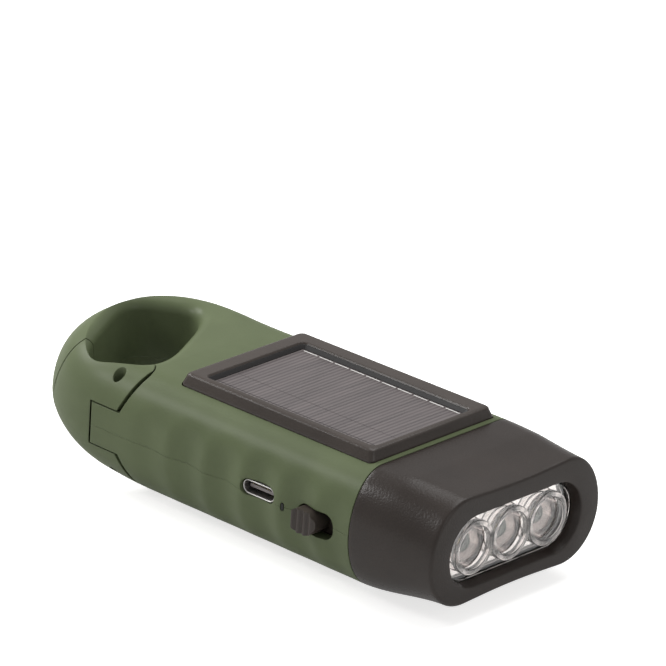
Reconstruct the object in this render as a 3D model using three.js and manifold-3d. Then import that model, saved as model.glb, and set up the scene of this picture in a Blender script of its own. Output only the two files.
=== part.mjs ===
// Hand crank flashlight with a solar panel and a carabiner loop
// Millimetres, +Z up, +X towards the lamp, origin under the middle of the torch at rest
import * as THREE from 'three';
import { mergeVertices } from 'three/addons/utils/BufferGeometryUtils.js';
import Module from 'manifold-3d';

const wasm = await Module();
wasm.setup();

// Fits and fineness shared by the whole torch
const gap = 0.3;
const overrun = 5;
const runningFit = 0.05;
const roundSides = 20;
const pinSides = 12;
const screwSides = 10;

// Housing
const length = 122;
const halfWidth = 26.8;
const housingHeight = 26.5;
const seamAboveUnderside = 13.1;
const edgeAcross = 9.2;
const nearTailEdgeAcross = 8.2;
const farTailEdgeAcross = 5.6;
const tailNarrowing = 1;
const farTailLength = 30;
const nearTailLength = 28;
const farTailShare = 0.77;
const nearTailShare = 0.94;
const tailLift = 7;
const tailLiftLength = 41;
const tailSteps = 9;
const edgeSteps = 5;
const sideWall = 3;
const floorWall = 1.9;
const roofWall = 2.65;
const bezelLength = 21.8;
const solidTailLength = 37.5;
const cavityCornerRadius = 8;

// Crank hinge barrel, on which the torch rests
const barrelRadius = 1.5;
const foldGap = 0.15;
const padHeight = 0.5;
const padHalfWidth = 17.6;
const padLength = 61.4;
const padCorner = 3;

// Levels and stations that follow from them
const tailX = -length / 2;
const faceX = length / 2;
const bezelX = faceX - bezelLength;
const padBottom = barrelRadius + foldGap;
const underside = padBottom + padHeight;
const topside = underside + housingHeight;
const seam = underside + seamAboveUnderside;
const cavityX = tailX + solidTailLength;
const floor = underside + floorWall;
const ceiling = topside - roofWall;

// Finger scallops on both sides
const scallopPitch = 10.65;
const firstCuspX = -12.6;
const cuspCount = 5;
const scallopDepth = 1;
const scallopSteps = 3;
const scallopFadeTop = 4;
const scallopFadeLength = 6;

// Carabiner loop and gate
const holeCentreX = tailX + 19.47;
const holeCentreY = -3.46;
const holeLong = 17.2;
const holeShort = 9.1;
const holeTurn = -63.9;
const holeSquareness = 3.3;
const holeCornerShare = 0.09;
const holeCornerTurn = 238;
const holeCornerSpread = 26;
const rimRadius = 3;
const holeSteps = 28;
const gatePinX = tailX + 29.9;
const gatePinY = 5.35 - halfWidth;
const gatePinRadius = 1.1;
const pinRecessRadius = 1.35;
const pinHoleDepth = 3;
const gateReach = 16.3;
const gateTaperShare = 0.3;
const tipTurn = 138;
const lugReach = 6.42;
const lugSlopeShare = 0.41;
const lugRounding = 0.8;
const lugGap = 1;
const knuckleRadius = 5.6;
const tongueTopAboveSeam = 4.7;
const tongueBottomBelowSeam = 4.5;
const tongueLap = 2;
const springWire = 0.3;
const springTurns = 3;
const springRadius = 1.5;
const springPitch = 0.75;
const springArmLength = 6;
const springSteps = 8;
const springSides = 5;
const springPocketRadius = 2;

// Solar frame and panel
const frameLength = 52.1;
const frameTailWidth = 34.8;
const frameLampWidth = 35.6;
const frameX = 10.7;
const frameY = -0.35;
const frameRise = 2.4;
const frameSink = 0.8;
const frameFlare = 1;
const frameCorner = 1.2;
const panelWidth = 27.7;
const panelLength = 45.2;
const panelX = 12;
const panelY = -1.5;
const panelDrop = 1.2;
const openingFlare = 0.8;
const panelThickness = 1.1;

// Lamp
const faceHalfWidth = 25.9;
const faceTop = 0.85;
const faceBottom = 2;
const faceCorner = 10.5;
const faceWaist = 0.5;
const faceFillet = 0.7;
const bezelWall = 2;
const bezelFrontWall = 2.4;
const windowHalfWidth = 19.5;
const windowRadius = 7.25;
const windowDraft = 0.7;
const spigotLength = 4;
const lensThickness = 1.2;
const lensFlange = 1.4;
const lampPitch = 11.24;
const lampCount = 3;
const bossRadius = 5.9;
const bossInnerRadius = 4.66;
const bossHeight = 1.2;
const cupMouth = 5.1;
const cupThroat = 2.75;
const cupDepth = 6.3;
const reflectorDepth = 7.5;
const ledRadius = 2.5;
const ledLength = 7.6;
const ledFlangeRadius = 2.9;
const ledFlangeThickness = 1;
const boardThickness = 1.2;
const ledBoardHalfWidth = 19;
const ledBoardHalfHeight = 6.5;

// USB-C receptacle
const usbX = 13.4;
const usbAboveSeam = 1;
const usbCutWidth = 9.44;
const usbCutHeight = 3.56;
const usbWidth = 8.94;
const usbHeight = 3.16;
const usbDepth = 7.35;
const usbWall = 0.3;
const tongueWidth = 6.7;
const tongueHeight = 0.7;
const tongueSetback = 1.1;

// Slide switch
const switchX = 27.65;
const switchBelowSeam = 0.45;
const knobWidth = 6.7;
const knobHeight = 5.2;
const knobProud = 1.6;
const knobTravel = 3.3;
const knobClearance = 0.3;
const knobCornerRadius = 2.4;
const knobRibs = 3;
const knobRibDepth = 0.35;
const slideMargin = 1.3;
const slideThickness = 1.1;
const switchLength = 8.6;
const switchDepth = 4.6;
const switchHeight = 3.2;

// Charging indicator
const indicatorX = 20.5;
const indicatorWidth = 0.7;
const indicatorHeight = 1.6;

// Main board
const boardStartX = 8.6;
const boardEndX = 36;
const boardOuterY = -21.8;
const boardInnerY = -15.3;

// Battery
const batteryRadius = 5.1;
const batteryLength = 23.6;
const batteryX = -18.1;
const cradleThickness = 2;
const cradleSpread = 9;

// Crank
const hubX = 8;
const hubRadius = 17.5;
const hubHeight = 10;
const hubFlange = 1.3;
const hubFlangeThickness = 1.5;
const hubFlangeLift = 0.3;
const hubShaftRadius = 3;
const armWidth = 11;
const armThickness = 3;
const hingeOffset = 14.2;
const armReach = 29.7;
const knobReach = 24.1;
const hubSides = 32;
const crankKnobRadius = 4.2;
const crankKnobHeight = 6;
const crankKnobBore = 1.3;
const knobSwing = 1.6;
const postHeadRadius = 2.3;
const postHeadHeight = 1;
const hingePinRadius = 0.8;
const lipLength = 2.5;
const knuckleWidth = 6;
const hingeEar = 0.5;

// Gear train
const gearModule = 0.6;
const driveTeeth = 48;
const pinionTeeth = 10;
const firstWheelTeeth = 32;
const secondWheelTeeth = 30;
const rotorTeeth = 9;
const gearThickness = 1.8;
const meshOverlap = 0.2;
const firstTurn = 35;
const secondTurn = -100;
const rotorTurn = 135;
const axleRadius = 0.9;
const backlash = 0.16;
const addendumShare = 0.9;
const dedendumShare = 1.15;
const tipShare = 0.4;
const rootShare = 1.7;

// Plates, magnet and coil
const plateThickness = 1.5;
const plateStartX = -11.5;
const plateEndX = 32.6;
const plateHalfWidth = 20.5;
const plateCorner = 4;
const platePostX = 30;
const platePostTailX = -8.5;
const platePostY = 13;
const platePostRadius = 2;
const upperPlateThickness = 1;
const legRadius = 1.6;
const farLegX = 11.5;
const farLegY = 18.2;
const tailLegX = -4.6;
const tailLegY = -12.4;
const nearLegX = 30.5;
const nearLegY = -9;
const magnetRadius = 6.6;
const magnetHeight = 3.2;
const coilOuterRadius = 10;
const coilHeight = 3.8;
const coilWall = 0.9;
const rotorShaftRadius = 1.6;

// Screws
const caseScrewX = 35.6;
const caseScrewTailX = -19.5;
const caseScrewY = 15.2;
const bossOuterRadius = 2.6;
const screwRadius = 1.1;
const screwHeadRadius = 2;
const screwHeadHeight = 1.3;
const screwClearance = 0.12;
const postScrewDepth = 5;

// Makes a manifold solid from a three.js geometry
function solid(geometry) {
  const bare = geometry.index ? geometry.toNonIndexed() : geometry.clone();
  for (const key of Object.keys(bare.attributes)) {
    if (key !== 'position') bare.deleteAttribute(key);
  }
  const merged = mergeVertices(bare, 1e-4);
  const vertProperties = new Float32Array(merged.attributes.position.array);
  const triVerts = new Uint32Array(merged.index.array);
  return new wasm.Manifold(new wasm.Mesh({ numProp: 3, vertProperties, triVerts }));
}

// Makes a named three.js mesh from a manifold solid
function part(name, shape, material) {
  const result = shape.getMesh();
  const geometry = new THREE.BufferGeometry();
  geometry.setAttribute('position', new THREE.BufferAttribute(new Float32Array(result.vertProperties), 3));
  geometry.setIndex(new THREE.BufferAttribute(new Uint32Array(result.triVerts), 1));
  geometry.computeVertexNormals();
  const mesh = new THREE.Mesh(geometry, material);
  mesh.name = name;
  return mesh;
}

function paint(color, roughness, metalness = 0) {
  return new THREE.MeshStandardMaterial({ color, roughness, metalness, flatShading: true });
}

// Closed solid through rings of equally many points, each anticlockwise seen against its axis
function stack(rings, cap) {
  const count = rings[0].length;
  const positions = rings.flat().flatMap((point) => [point.x, point.y, point.z]);
  const index = [];
  for (let level = 0; level + 1 < rings.length; level += 1) {
    for (let i = 0; i < count; i += 1) {
      const next = (i + 1) % count;
      const low = level * count;
      const high = low + count;
      index.push(low + i, low + next, high + next, low + i, high + next, high + i);
    }
  }
  const last = (rings.length - 1) * count;
  for (const [a, b, c] of cap(rings[0])) index.push(a, c, b);
  for (const [a, b, c] of cap(rings.at(-1))) index.push(last + a, last + b, last + c);
  const geometry = new THREE.BufferGeometry();
  geometry.setAttribute('position', new THREE.Float32BufferAttribute(positions, 3));
  geometry.setIndex(index);
  return geometry;
}

// End caps of a stack: flat, in strips across a long ring, or in a fan
const flatCap = (flat) => (ring) => THREE.ShapeUtils.triangulateShape(ring.map(flat), []);
const seenFromAbove = flatCap((point) => new THREE.Vector2(point.x, point.y));
const seenFromLamp = flatCap((point) => new THREE.Vector2(point.y, point.z));
const inStrips = (ring) => {
  const strips = [];
  for (let i = 0, j = ring.length - 1; i + 1 < j; i += 1, j -= 1) {
    strips.push([i, i + 1, j]);
    if (i + 1 < j - 1) strips.push([i + 1, j - 1, j]);
  }
  return strips;
};
const inFan = (ring) => ring.slice(2).map((_, i) => [0, i + 1, i + 2]);
const radians = THREE.MathUtils.degToRad;

// Upright prism over an outline of [x, y] points
function prism(outline, low, high) {
  const points = outline.map(([x, y]) => new THREE.Vector2(x, y));
  if (THREE.ShapeUtils.isClockWise(points)) points.reverse();
  const level = (z) => points.map((point) => new THREE.Vector3(point.x, point.y, z));
  return stack([level(low), level(high)], seenFromAbove);
}

// Solid turned about an upright axis through x, y from [radius, height] points
function turned(profile, x = 0, y = 0, sides = roundSides) {
  const points = profile.map(([radius, height]) => new THREE.Vector2(radius, height));
  return new THREE.LatheGeometry(points, sides).rotateX(Math.PI / 2).translate(x, y, 0);
}

function rod(radius, low, high, x = 0, y = 0, sides = roundSides) {
  return new THREE.CylinderGeometry(radius, radius, high - low, sides)
    .rotateX(Math.PI / 2)
    .translate(x, y, (low + high) / 2);
}

function block(x0, x1, y0, y1, z0, z1) {
  return new THREE.BoxGeometry(x1 - x0, y1 - y0, z1 - z0)
    .translate((x0 + x1) / 2, (y0 + y1) / 2, (z0 + z1) / 2);
}

// Points of an arc about a centre, in degrees, both ends included
function arc(x, y, radius, start, end, steps) {
  return Array.from({ length: steps + 1 }, (_, i) => {
    const angle = radians(start + (end - start) * i / steps);
    return [x + radius * Math.cos(angle), y + radius * Math.sin(angle)];
  });
}

// Rectangle with rounded corners, anticlockwise, as [x, y] points
function roundedRectangle(x0, x1, y0, y1, radius, steps = 4) {
  return [
    ...arc(x1 - radius, y0 + radius, radius, -90, 0, steps),
    ...arc(x1 - radius, y1 - radius, radius, 0, 90, steps),
    ...arc(x0 + radius, y1 - radius, radius, 90, 180, steps),
    ...arc(x0 + radius, y0 + radius, radius, 180, 270, steps),
  ];
}

// Outline with half-round ends, as [x, y] points
function stadium(width, height, steps = 6) {
  const radius = height / 2;
  const middle = width / 2 - radius;
  return [...arc(middle, 0, radius, -90, 90, steps), ...arc(-middle, 0, radius, 90, 270, steps)];
}

// Turns a solid made along Z so that its Z runs along X, and moves it
const alongX = (geometry, x, y, z) => geometry.rotateY(Math.PI / 2).translate(x, y, z);

// Turns a solid made along Z so that its Z runs towards the near side, and moves it
const towardsNear = (geometry, x, y, z) => geometry.rotateX(Math.PI / 2).translate(x, y, z);

// Half width of the seam's outline along the straight sides, a little narrower towards the tail
const sideReach = (x) => halfWidth - tailNarrowing * (bezelX - x) / (bezelX - tailX - farTailLength);

// How far the side falls in from its widest line at a height, along the rounded edges
function edgeInset(z, across = edgeAcross) {
  const reach = z > seam ? topside - seam : seam - underside;
  const share = Math.min(Math.abs(z - seam) / reach, 1);
  return across * (1 - Math.sqrt(1 - share * share));
}

// Width of the upper rounded edge round the tail, where it is tighter, most of all on the far side
function tailEdgeAcross(x, y) {
  const tailward = THREE.MathUtils.smoothstep(cavityX - x, 0, cavityX - tailX);
  const farward = THREE.MathUtils.smoothstep(y, -halfWidth / 2, halfWidth / 2);
  const tightest = nearTailEdgeAcross + (farTailEdgeAcross - nearTailEdgeAcross) * farward;
  return edgeAcross + (tightest - edgeAcross) * tailward;
}

// How far the underside has risen under the loop, less for what lies higher
function tailRise(x, z) {
  const along = Math.max((tailX + tailLiftLength - x) / tailLiftLength, 0);
  return tailLift * along * along * Math.max((seam - z) / (seam - underside), 0);
}

// Depth of the finger scallops at a station and a height
function scallop(x, z) {
  const steps = (x - firstCuspX) / scallopPitch;
  const cell = Math.floor(steps);
  if (cell < -1 || cell >= cuspCount) return 0;
  const along = cell === cuspCount - 1
    ? (x - firstCuspX - cell * scallopPitch) / (bezelX - firstCuspX - cell * scallopPitch)
    : steps - cell;
  const hollow = 1 - (2 * Math.min(along, 1) - 1) ** 2;
  const fromTop = topside - scallopFadeTop - z;
  const fade = THREE.MathUtils.smoothstep(fromTop, 0, scallopFadeLength);
  const end = cell === -1 || cell === cuspCount - 1 ? 1 / 2 : 1;
  return scallopDepth * hollow * fade * end;
}

// Stations along the side, from the bezel to the tail's centre
function sideStations(frontX) {
  const stations = [frontX];
  const lastCuspX = firstCuspX + (cuspCount - 1) * scallopPitch;
  for (let i = 1; i < scallopSteps; i += 1) stations.push(frontX + (lastCuspX - frontX) * i / scallopSteps);
  for (let cusp = cuspCount - 1; cusp >= 0; cusp -= 1) {
    for (let i = 0; i < scallopSteps; i += 1) {
      stations.push(firstCuspX + (cusp - i / scallopSteps) * scallopPitch);
    }
  }
  stations.push(firstCuspX - scallopPitch);
  return stations;
}

// Outline of the housing at a height, drawn in by an inset
function housingRing(z, inset, frontX) {
  const sides = sideStations(frontX).map((x) => [x, sideReach(x) - inset - edgeInset(z) - scallop(x, z)]);
  const start = (tailLength) => sideReach(tailX + tailLength);
  const drawnIn = (x, y) => inset + (z > seam ? edgeInset(z, tailEdgeAcross(x, y)) : edgeInset(z));
  const tail = (side, tailLength, share) => Array.from({ length: tailSteps }, (_, i) => {
    const angle = Math.PI / 2 * i / tailSteps;
    const back = tailLength * Math.sin(angle) ** share;
    const out = side * start(tailLength) * Math.cos(angle) ** share;
    const less = drawnIn(tailX + tailLength - back, out);
    return [tailX + tailLength - back * (1 - less / tailLength), out * (1 - less / start(tailLength))];
  });
  const far = tail(1, farTailLength, farTailShare);
  const near = tail(-1, nearTailLength, nearTailShare).reverse();
  const tip = [tailX + drawnIn(tailX, 0), 0];
  return [...sides, ...far, tip, ...near, ...sides.map(([x, y]) => [x, -y]).reverse()]
    .map(([x, y]) => new THREE.Vector3(x, y, z + tailRise(x, z)));
}

// Heights of the rings from one level to another, closer together where the edge turns
function edgeLevels(from, to) {
  return Array.from({ length: edgeSteps + 1 }, (_, i) => from + (to - from) * Math.sin(Math.PI / 2 * i / edgeSteps));
}

function housing(inset) {
  const lower = edgeLevels(seam, underside).reverse();
  const upper = edgeLevels(seam, topside).slice(1);
  return solid(stack([...lower, ...upper].map((z) => housingRing(z, inset, bezelX)), inStrips));
}

// Room inside the housing and inside the spigot that carries the bezel
function housingCavity() {
  const frontX = bezelX - bezelWall;
  const cornerX = cavityX + cavityCornerRadius;
  const ring = (z) => {
    const front = sideReach(frontX) - edgeInset(z) - sideWall;
    const back = sideReach(cornerX) - edgeInset(z) - sideWall - cavityCornerRadius;
    return [
      [frontX, -front],
      [frontX, front],
      ...arc(cornerX, back, cavityCornerRadius, 90, 180, 5),
      ...arc(cornerX, -back, cavityCornerRadius, 180, 270, 5),
    ].map(([x, y]) => new THREE.Vector3(x, y, z));
  };
  const levels = Array.from({ length: edgeSteps + 1 }, (_, i) => floor + (ceiling - floor) * i / edgeSteps);
  const spigotRoom = bezelShape(2 * bezelWall + gap, frontX - bezelWall, bezelX + spigotLength + overrun, 0);
  return solid(stack(levels.map(ring), seenFromAbove)).add(spigotRoom);
}

// Hole of the carabiner loop, with its rims rounded over
function loopHole() {
  const steps = 3;
  const rim = Array.from({ length: steps + 1 }, (_, i) => radians(90 * i / steps));
  const low = rim.map((a) => [underside + rimRadius * (1 - Math.cos(a)), rimRadius * (1 - Math.sin(a))]);
  const high = rim.map((a) => [topside - rimRadius * (1 - Math.cos(a)), rimRadius * (1 - Math.sin(a))]).reverse();
  const turn = radians(holeTurn);
  const squared = (value) => Math.sign(value) * Math.abs(value) ** (2 / holeSquareness);
  const ring = ([z, flare]) => Array.from({ length: holeSteps }, (_, i) => {
    const angle = 2 * Math.PI * i / holeSteps;
    const fromCorner = (angle - radians(holeCornerTurn)) / radians(holeCornerSpread);
    const widening = 1 + holeCornerShare * Math.exp(-fromCorner * fromCorner);
    const along = (holeLong * widening + flare) * squared(Math.cos(angle));
    const across = (holeShort * widening + flare) * squared(Math.sin(angle));
    const x = holeCentreX + along * Math.cos(turn) - across * Math.sin(turn);
    const y = holeCentreY + along * Math.sin(turn) + across * Math.cos(turn);
    return new THREE.Vector3(x, y, z + tailRise(x, z));
  });
  const below = [underside - overrun, rimRadius];
  const above = [topside + overrun, rimRadius];
  return solid(stack([below, ...low, ...high, above].map(ring), inStrips));
}

// How far a level lies from the top or the underside, whichever is nearer
const fromOutside = (z) => (z > seam ? topside - z : z - underside);

// Plan of the gate from its round free end to its heel, longer towards the seam
function gatePlan(heel, clearance, z) {
  const reach = gateReach + clearance + gateTaperShare * fromOutside(z);
  return [
    [gatePinX - reach, gatePinY - halfWidth],
    ...heel,
    [holeCentreX, holeCentreY],
    ...arc(gatePinX, gatePinY, reach, tipTurn, 180, 5),
  ].map(([x, y]) => new THREE.Vector3(x, y, z));
}

// Heel of the upper and lower lug: flat outside, round about the pin inside, nearer to it towards the seam
function lugHeel(clearance, z) {
  const flat = lugReach - lugSlopeShare * fromOutside(z);
  const radius = flat + lugRounding + clearance;
  const reach = flat + lugGap * Math.sign(clearance);
  const from = Math.acos(Math.min(reach / radius, 1)) * 180 / Math.PI;
  return [
    [gatePinX + reach, gatePinY - halfWidth],
    [gatePinX + reach, gatePinY + radius * Math.sin(radians(from))],
    ...arc(gatePinX, gatePinY, radius, from, 116, 6),
  ];
}

// Hollow of the gate that turns round the tongue's knuckle
function knuckleHeel(radius) {
  return [
    [gatePinX - radius / 2, gatePinY - halfWidth],
    ...arc(gatePinX, gatePinY, radius, 240, 120, 8),
  ];
}

const tongueTop = seam + tongueTopAboveSeam;
const tongueBottom = seam - tongueBottomBelowSeam;

// Everything that the gate takes up, or with its clearances everything cut from the housing
function gateRoom(clearance) {
  const lugs = (z) => gatePlan(lugHeel(clearance, z), clearance, z);
  const middle = (z) => gatePlan(knuckleHeel(clearance ? knuckleRadius : knuckleRadius + gap), clearance, z);
  const shift = clearance ? 0 : gap;
  const upper = [tongueTop + shift, topside + overrun].map(lugs);
  const lower = [underside - overrun, tongueBottom - shift].map(lugs);
  const between = [tongueBottom - tongueLap, seam, tongueTop + tongueLap].map(middle);
  return [upper, lower, between].map((rings) => solid(stack(rings, seenFromAbove))).reduce((a, b) => a.add(b));
}

// Hole of the gate pin, wider where the pin ends below the surface
function pinBore() {
  const bore = solid(rod(gatePinRadius + runningFit, underside - overrun, topside + overrun, gatePinX, gatePinY));
  return bore.add(solid(rod(pinRecessRadius, pinTop, topside + overrun, gatePinX, gatePinY)));
}

const pinTop = seam + edgeRise(gatePinY) - pinHoleDepth;
const pinBottom = seam - edgeRise(gatePinY) + pinHoleDepth;

// Height of the upper rounded edge above the seam where the side has come in to a given y
function edgeRise(y) {
  const share = 1 - (sideReach(gatePinX) - Math.abs(y)) / edgeAcross;
  return (topside - seam) * Math.sqrt(1 - share * share);
}

// Pocket in the tongue for the gate's spring and room for its arms to swing
function springRoom() {
  const half = springTurns * springPitch / 2 + gap * 2;
  const slit = springWire + gap;
  const well = solid(rod(springPocketRadius, seam - half, seam + half, gatePinX, gatePinY));
  const back = solid(block(gatePinX, gatePinX + springArmLength + 3 * gap, gatePinY - springRadius - slit,
    gatePinY + springRadius + slit, seam - half, seam + half));
  const front = solid(block(gatePinX - knuckleRadius - gap, gatePinX, gatePinY - springRadius - slit,
    gatePinY + springRadius + slit, seam - half, seam - half + slit * 2 + gap));
  return well.add(back).add(front);
}

// Torsion spring: a coil about the gate pin with one arm into the gate and one into the tongue
function gateSpring() {
  const bottom = seam - springTurns * springPitch / 2;
  const armX = gatePinX - knuckleRadius - gap - springRadius / 2;
  const route = [new THREE.Vector3(armX, gatePinY - springRadius, bottom)];
  const steps = springSteps * (springTurns - 1) + springSteps / 2;
  for (let i = 0; i <= steps; i += 1) {
    const angle = 2 * Math.PI * i / springSteps - Math.PI / 2;
    const x = gatePinX + springRadius * Math.cos(angle);
    const y = gatePinY + springRadius * Math.sin(angle);
    route.push(new THREE.Vector3(x, y, bottom + springPitch * i / springSteps));
  }
  route.push(new THREE.Vector3(gatePinX + springArmLength, gatePinY + springRadius, route.at(-1).z));
  return solid(tube(route, springWire, springSides));
}

// Unbroken tube through a list of points
function tube(points, radius, sides) {
  const rings = points.map((point, i) => {
    const before = points[Math.max(i - 1, 0)];
    const after = points[Math.min(i + 1, points.length - 1)];
    const forward = after.clone().sub(before).normalize();
    const side = new THREE.Vector3(0, 0, 1).cross(forward).normalize();
    const up = forward.clone().cross(side);
    return Array.from({ length: sides }, (_, k) => {
      const angle = 2 * Math.PI * k / sides;
      const across = side.clone().multiplyScalar(Math.cos(angle)).addScaledVector(up, Math.sin(angle));
      return point.clone().addScaledVector(across, radius);
    });
  });
  return stack(rings, inFan);
}

// Case screws, plate posts and their places
const casePlaces = [
  [caseScrewX, caseScrewY],
  [caseScrewX, -caseScrewY],
  [caseScrewTailX, caseScrewY],
  [caseScrewTailX, -caseScrewY],
];
const platePlaces = [
  [platePostX, platePostY],
  [platePostX, -platePostY],
  [platePostTailX, platePostY],
  [platePostTailX, -platePostY],
];

// Levels of the crank and the gear train
const hubTop = padBottom + hubHeight;
const plateBottom = hubTop + gap;
const plateTop = plateBottom + plateThickness;
const driveBottom = plateTop + gap;
const driveTop = driveBottom + gearThickness;
const firstBottom = driveBottom;
const firstStep = driveTop + gap;
const firstTop = firstStep + gearThickness;
const secondBottom = firstStep;
const secondStep = firstTop + gap;
const secondTop = secondStep + gearThickness;
const upperBottom = secondTop + gap;
const upperTop = upperBottom + upperPlateThickness;
const boardTop = seam + usbAboveSeam - usbHeight / 2;
const boardBottom = boardTop - boardThickness;

// Centres of the wheels, each set off from the one that drives it
const pitchRadius = (teeth) => teeth * gearModule / 2;
const stepFrom = (x, y, distance, turn) => [
  x + distance * Math.cos(radians(turn)),
  y + distance * Math.sin(radians(turn)),
];
const [firstX, firstY] = stepFrom(hubX, 0, pitchRadius(driveTeeth + pinionTeeth), firstTurn);
const [secondX, secondY] = stepFrom(firstX, firstY, pitchRadius(firstWheelTeeth + pinionTeeth), secondTurn);
const [rotorX, rotorY] = stepFrom(secondX, secondY, pitchRadius(secondWheelTeeth + rotorTeeth), rotorTurn);

// Outline of a spur gear with a tooth centred on a given direction
function gearOutline(teeth, x, y, turn) {
  const pitch = pitchRadius(teeth);
  const root = pitch - gearModule * dedendumShare;
  const tip = pitch + gearModule * addendumShare;
  const tooth = 360 / teeth;
  const half = tooth / 4 - backlash / pitch * 90 / Math.PI;
  const corners = [[root, -rootShare], [tip, -tipShare], [tip, tipShare], [root, rootShare]];
  const at = (radius, angle) => [x + radius * Math.cos(radians(angle)), y + radius * Math.sin(radians(angle))];
  return Array.from({ length: teeth }, (_, i) => turn + i * tooth)
    .flatMap((middle) => corners.map(([radius, share]) => at(radius, middle + half * share)));
}

const gear = (teeth, x, y, turn, low, high) => solid(prism(gearOutline(teeth, x, y, turn), low, high));

// Direction of a follower's tooth gap that meets the driver's tooth along the line of centres
const meshTurn = (teeth, turn) => turn + 180 + 180 / teeth;
const rotorPinionTurn = meshTurn(rotorTeeth, rotorTurn);

// Cut through the near wall: an outline in x and z, at a place along the torch
function nearWallCut(outline, x, z) {
  const depth = sideWall * 3;
  return solid(towardsNear(prism(outline, 0, depth), x, depth / 2 - halfWidth, z));
}

// Slot of the switch, as long as the knob and its travel
function switchSlot() {
  const half = knobHeight / 2 + knobClearance;
  const x0 = -knobWidth / 2 - knobClearance;
  const x1 = knobWidth / 2 + knobTravel + knobClearance;
  const outline = roundedRectangle(x0, x1, -half, half, knobCornerRadius + knobClearance, 3);
  return nearWallCut(outline, switchX, seam - switchBelowSeam);
}

const usbCut = () => nearWallCut(stadium(usbCutWidth, usbCutHeight), usbX, seam + usbAboveSeam);

// Upright slit of the charging indicator, grown where it is cut
const indicatorOutline = (grow) => stadium(indicatorHeight + 2 * grow, indicatorWidth + 2 * grow, 3)
  .map(([along, across]) => [across, along]);
const indicatorCut = () => nearWallCut(indicatorOutline(gap / 3), indicatorX, seam);

// Outline of the solar frame's plan, wider at the lamp end
function frameOutline(grow, corner) {
  const x0 = frameX - frameLength / 2 - grow;
  const x1 = frameX + frameLength / 2 + grow;
  const tail = frameTailWidth / 2 + grow;
  const lamp = frameLampWidth / 2 + grow;
  return [
    ...arc(x1 - corner, frameY + corner - lamp, corner, -90, 0, 3),
    ...arc(x1 - corner, frameY + lamp - corner, corner, 0, 90, 3),
    ...arc(x0 + corner, frameY + tail - corner, corner, 90, 180, 3),
    ...arc(x0 + corner, frameY + corner - tail, corner, 180, 270, 3),
  ];
}

const frameBottom = topside - frameSink;
const frameTop = topside + frameRise;

function solarFrame() {
  const ring = (grow, z) => frameOutline(grow, frameCorner).map(([x, y]) => new THREE.Vector3(x, y, z));
  const soft = frameRise / 4;
  const outer = solid(stack([
    ring(frameFlare, frameBottom),
    ring(frameFlare, topside + soft / 2),
    ring(frameFlare / 3, frameTop - soft),
    ring(0, frameTop - soft / 3),
    ring(-soft, frameTop),
  ], seenFromAbove));
  const draft = (grow, z) => panelOutline(grow).map(([x, y]) => new THREE.Vector3(x, y, z));
  const recess = solid(stack([
    draft(gap, panelTop - panelThickness),
    draft(gap, panelTop),
    draft(gap + openingFlare, frameTop),
    draft(gap + openingFlare, frameTop + overrun),
  ], seenFromAbove));
  return outer.subtract(recess);
}

function panelOutline(grow) {
  const alongHalf = panelLength / 2 + grow;
  const acrossHalf = panelWidth / 2 + grow;
  return roundedRectangle(panelX - alongHalf, panelX + alongHalf, panelY - acrossHalf, panelY + acrossHalf, gap + grow, 2);
}

const panelTop = frameTop - panelDrop;
const solarPanel = () => solid(prism(panelOutline(0), panelTop - panelThickness, panelTop));

const framePocket = () => {
  const outline = frameOutline(frameFlare + gap / 2, frameCorner);
  return solid(prism(outline, frameBottom, topside + overrun));
};

// The whole housing before it is parted at the seam
function fullHousing() {
  const outer = housing(0);
  const spigot = bezelShape(bezelWall + gap, bezelX - bezelWall / 2, bezelX + spigotLength, 0);
  const shell = outer.add(spigot).subtract(housingCavity());
  const cuts = [loopHole(), gateRoom(gap), switchSlot(), usbCut(), indicatorCut(), framePocket(), springRoom()];
  return cuts.reduce((shape, cut) => shape.subtract(cut), shell.subtract(pinBore()));
}

const wholeHousing = fullHousing();
const below = (z) => solid(block(-length, length, -length, length, z - length, z));
const above = (z) => solid(block(-length, length, -length, length, z, z + length));

// Outer form drawn in, to trim what is added inside
const innerForm = housing(sideWall / 2);
const drill = (shape, radius, low, high, x, y) => shape.subtract(solid(rod(radius, low, high, x, y, pinSides)));

function topShell() {
  let shell = wholeHousing.intersect(above(seam));
  for (const [x, y] of casePlaces) {
    const boss = solid(rod(bossOuterRadius, seam + gap, ceiling + roofWall / 2, x, y, pinSides));
    shell = shell.add(boss.intersect(innerForm));
    shell = drill(shell, screwRadius, seam - overrun, ceiling - gap, x, y);
  }
  return shell;
}

function bottomShell() {
  const padOutline = roundedRectangle(bezelX - padLength, bezelX, -padHalfWidth, padHalfWidth, padCorner);
  const root = floor - floorWall / 2;
  let shell = wholeHousing.intersect(below(seam)).add(solid(prism(padOutline, padBottom, root)));
  for (const [x, y] of casePlaces) {
    shell = shell.add(solid(rod(bossOuterRadius, root, seam - gap, x, y, pinSides)).intersect(innerForm));
  }
  for (const [x, y] of platePlaces) {
    shell = shell.add(solid(rod(platePostRadius, root, plateBottom, x, y, pinSides)).intersect(innerForm));
  }
  for (const side of [-1, 1]) {
    const y = side * cradleSpread;
    shell = shell.add(solid(block(batteryX - batteryRadius, batteryX + batteryRadius, y - cradleThickness / 2,
      y + cradleThickness / 2, root, batteryZ - batteryRadius / 3)));
  }
  shell = shell.subtract(solid(rod(batteryRadius + gap, -batteryLength / 2 - gap, batteryLength / 2 + gap)
    .rotateX(Math.PI / 2).translate(batteryX, 0, batteryZ)));
  for (const [x, y] of casePlaces) {
    shell = drill(shell, screwRadius + screwClearance, underside - overrun, seam + overrun, x, y);
    shell = drill(shell, screwHeadRadius + screwClearance, underside - overrun, screwSeat, x, y);
  }
  for (const [x, y] of platePlaces) {
    shell = drill(shell, screwRadius, plateBottom - postScrewDepth, plateBottom + overrun, x, y);
  }
  return shell.subtract(solid(rod(hubRadius + gap, padBottom - overrun, floor + gap, hubX, 0, hubSides)));
}

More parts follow.
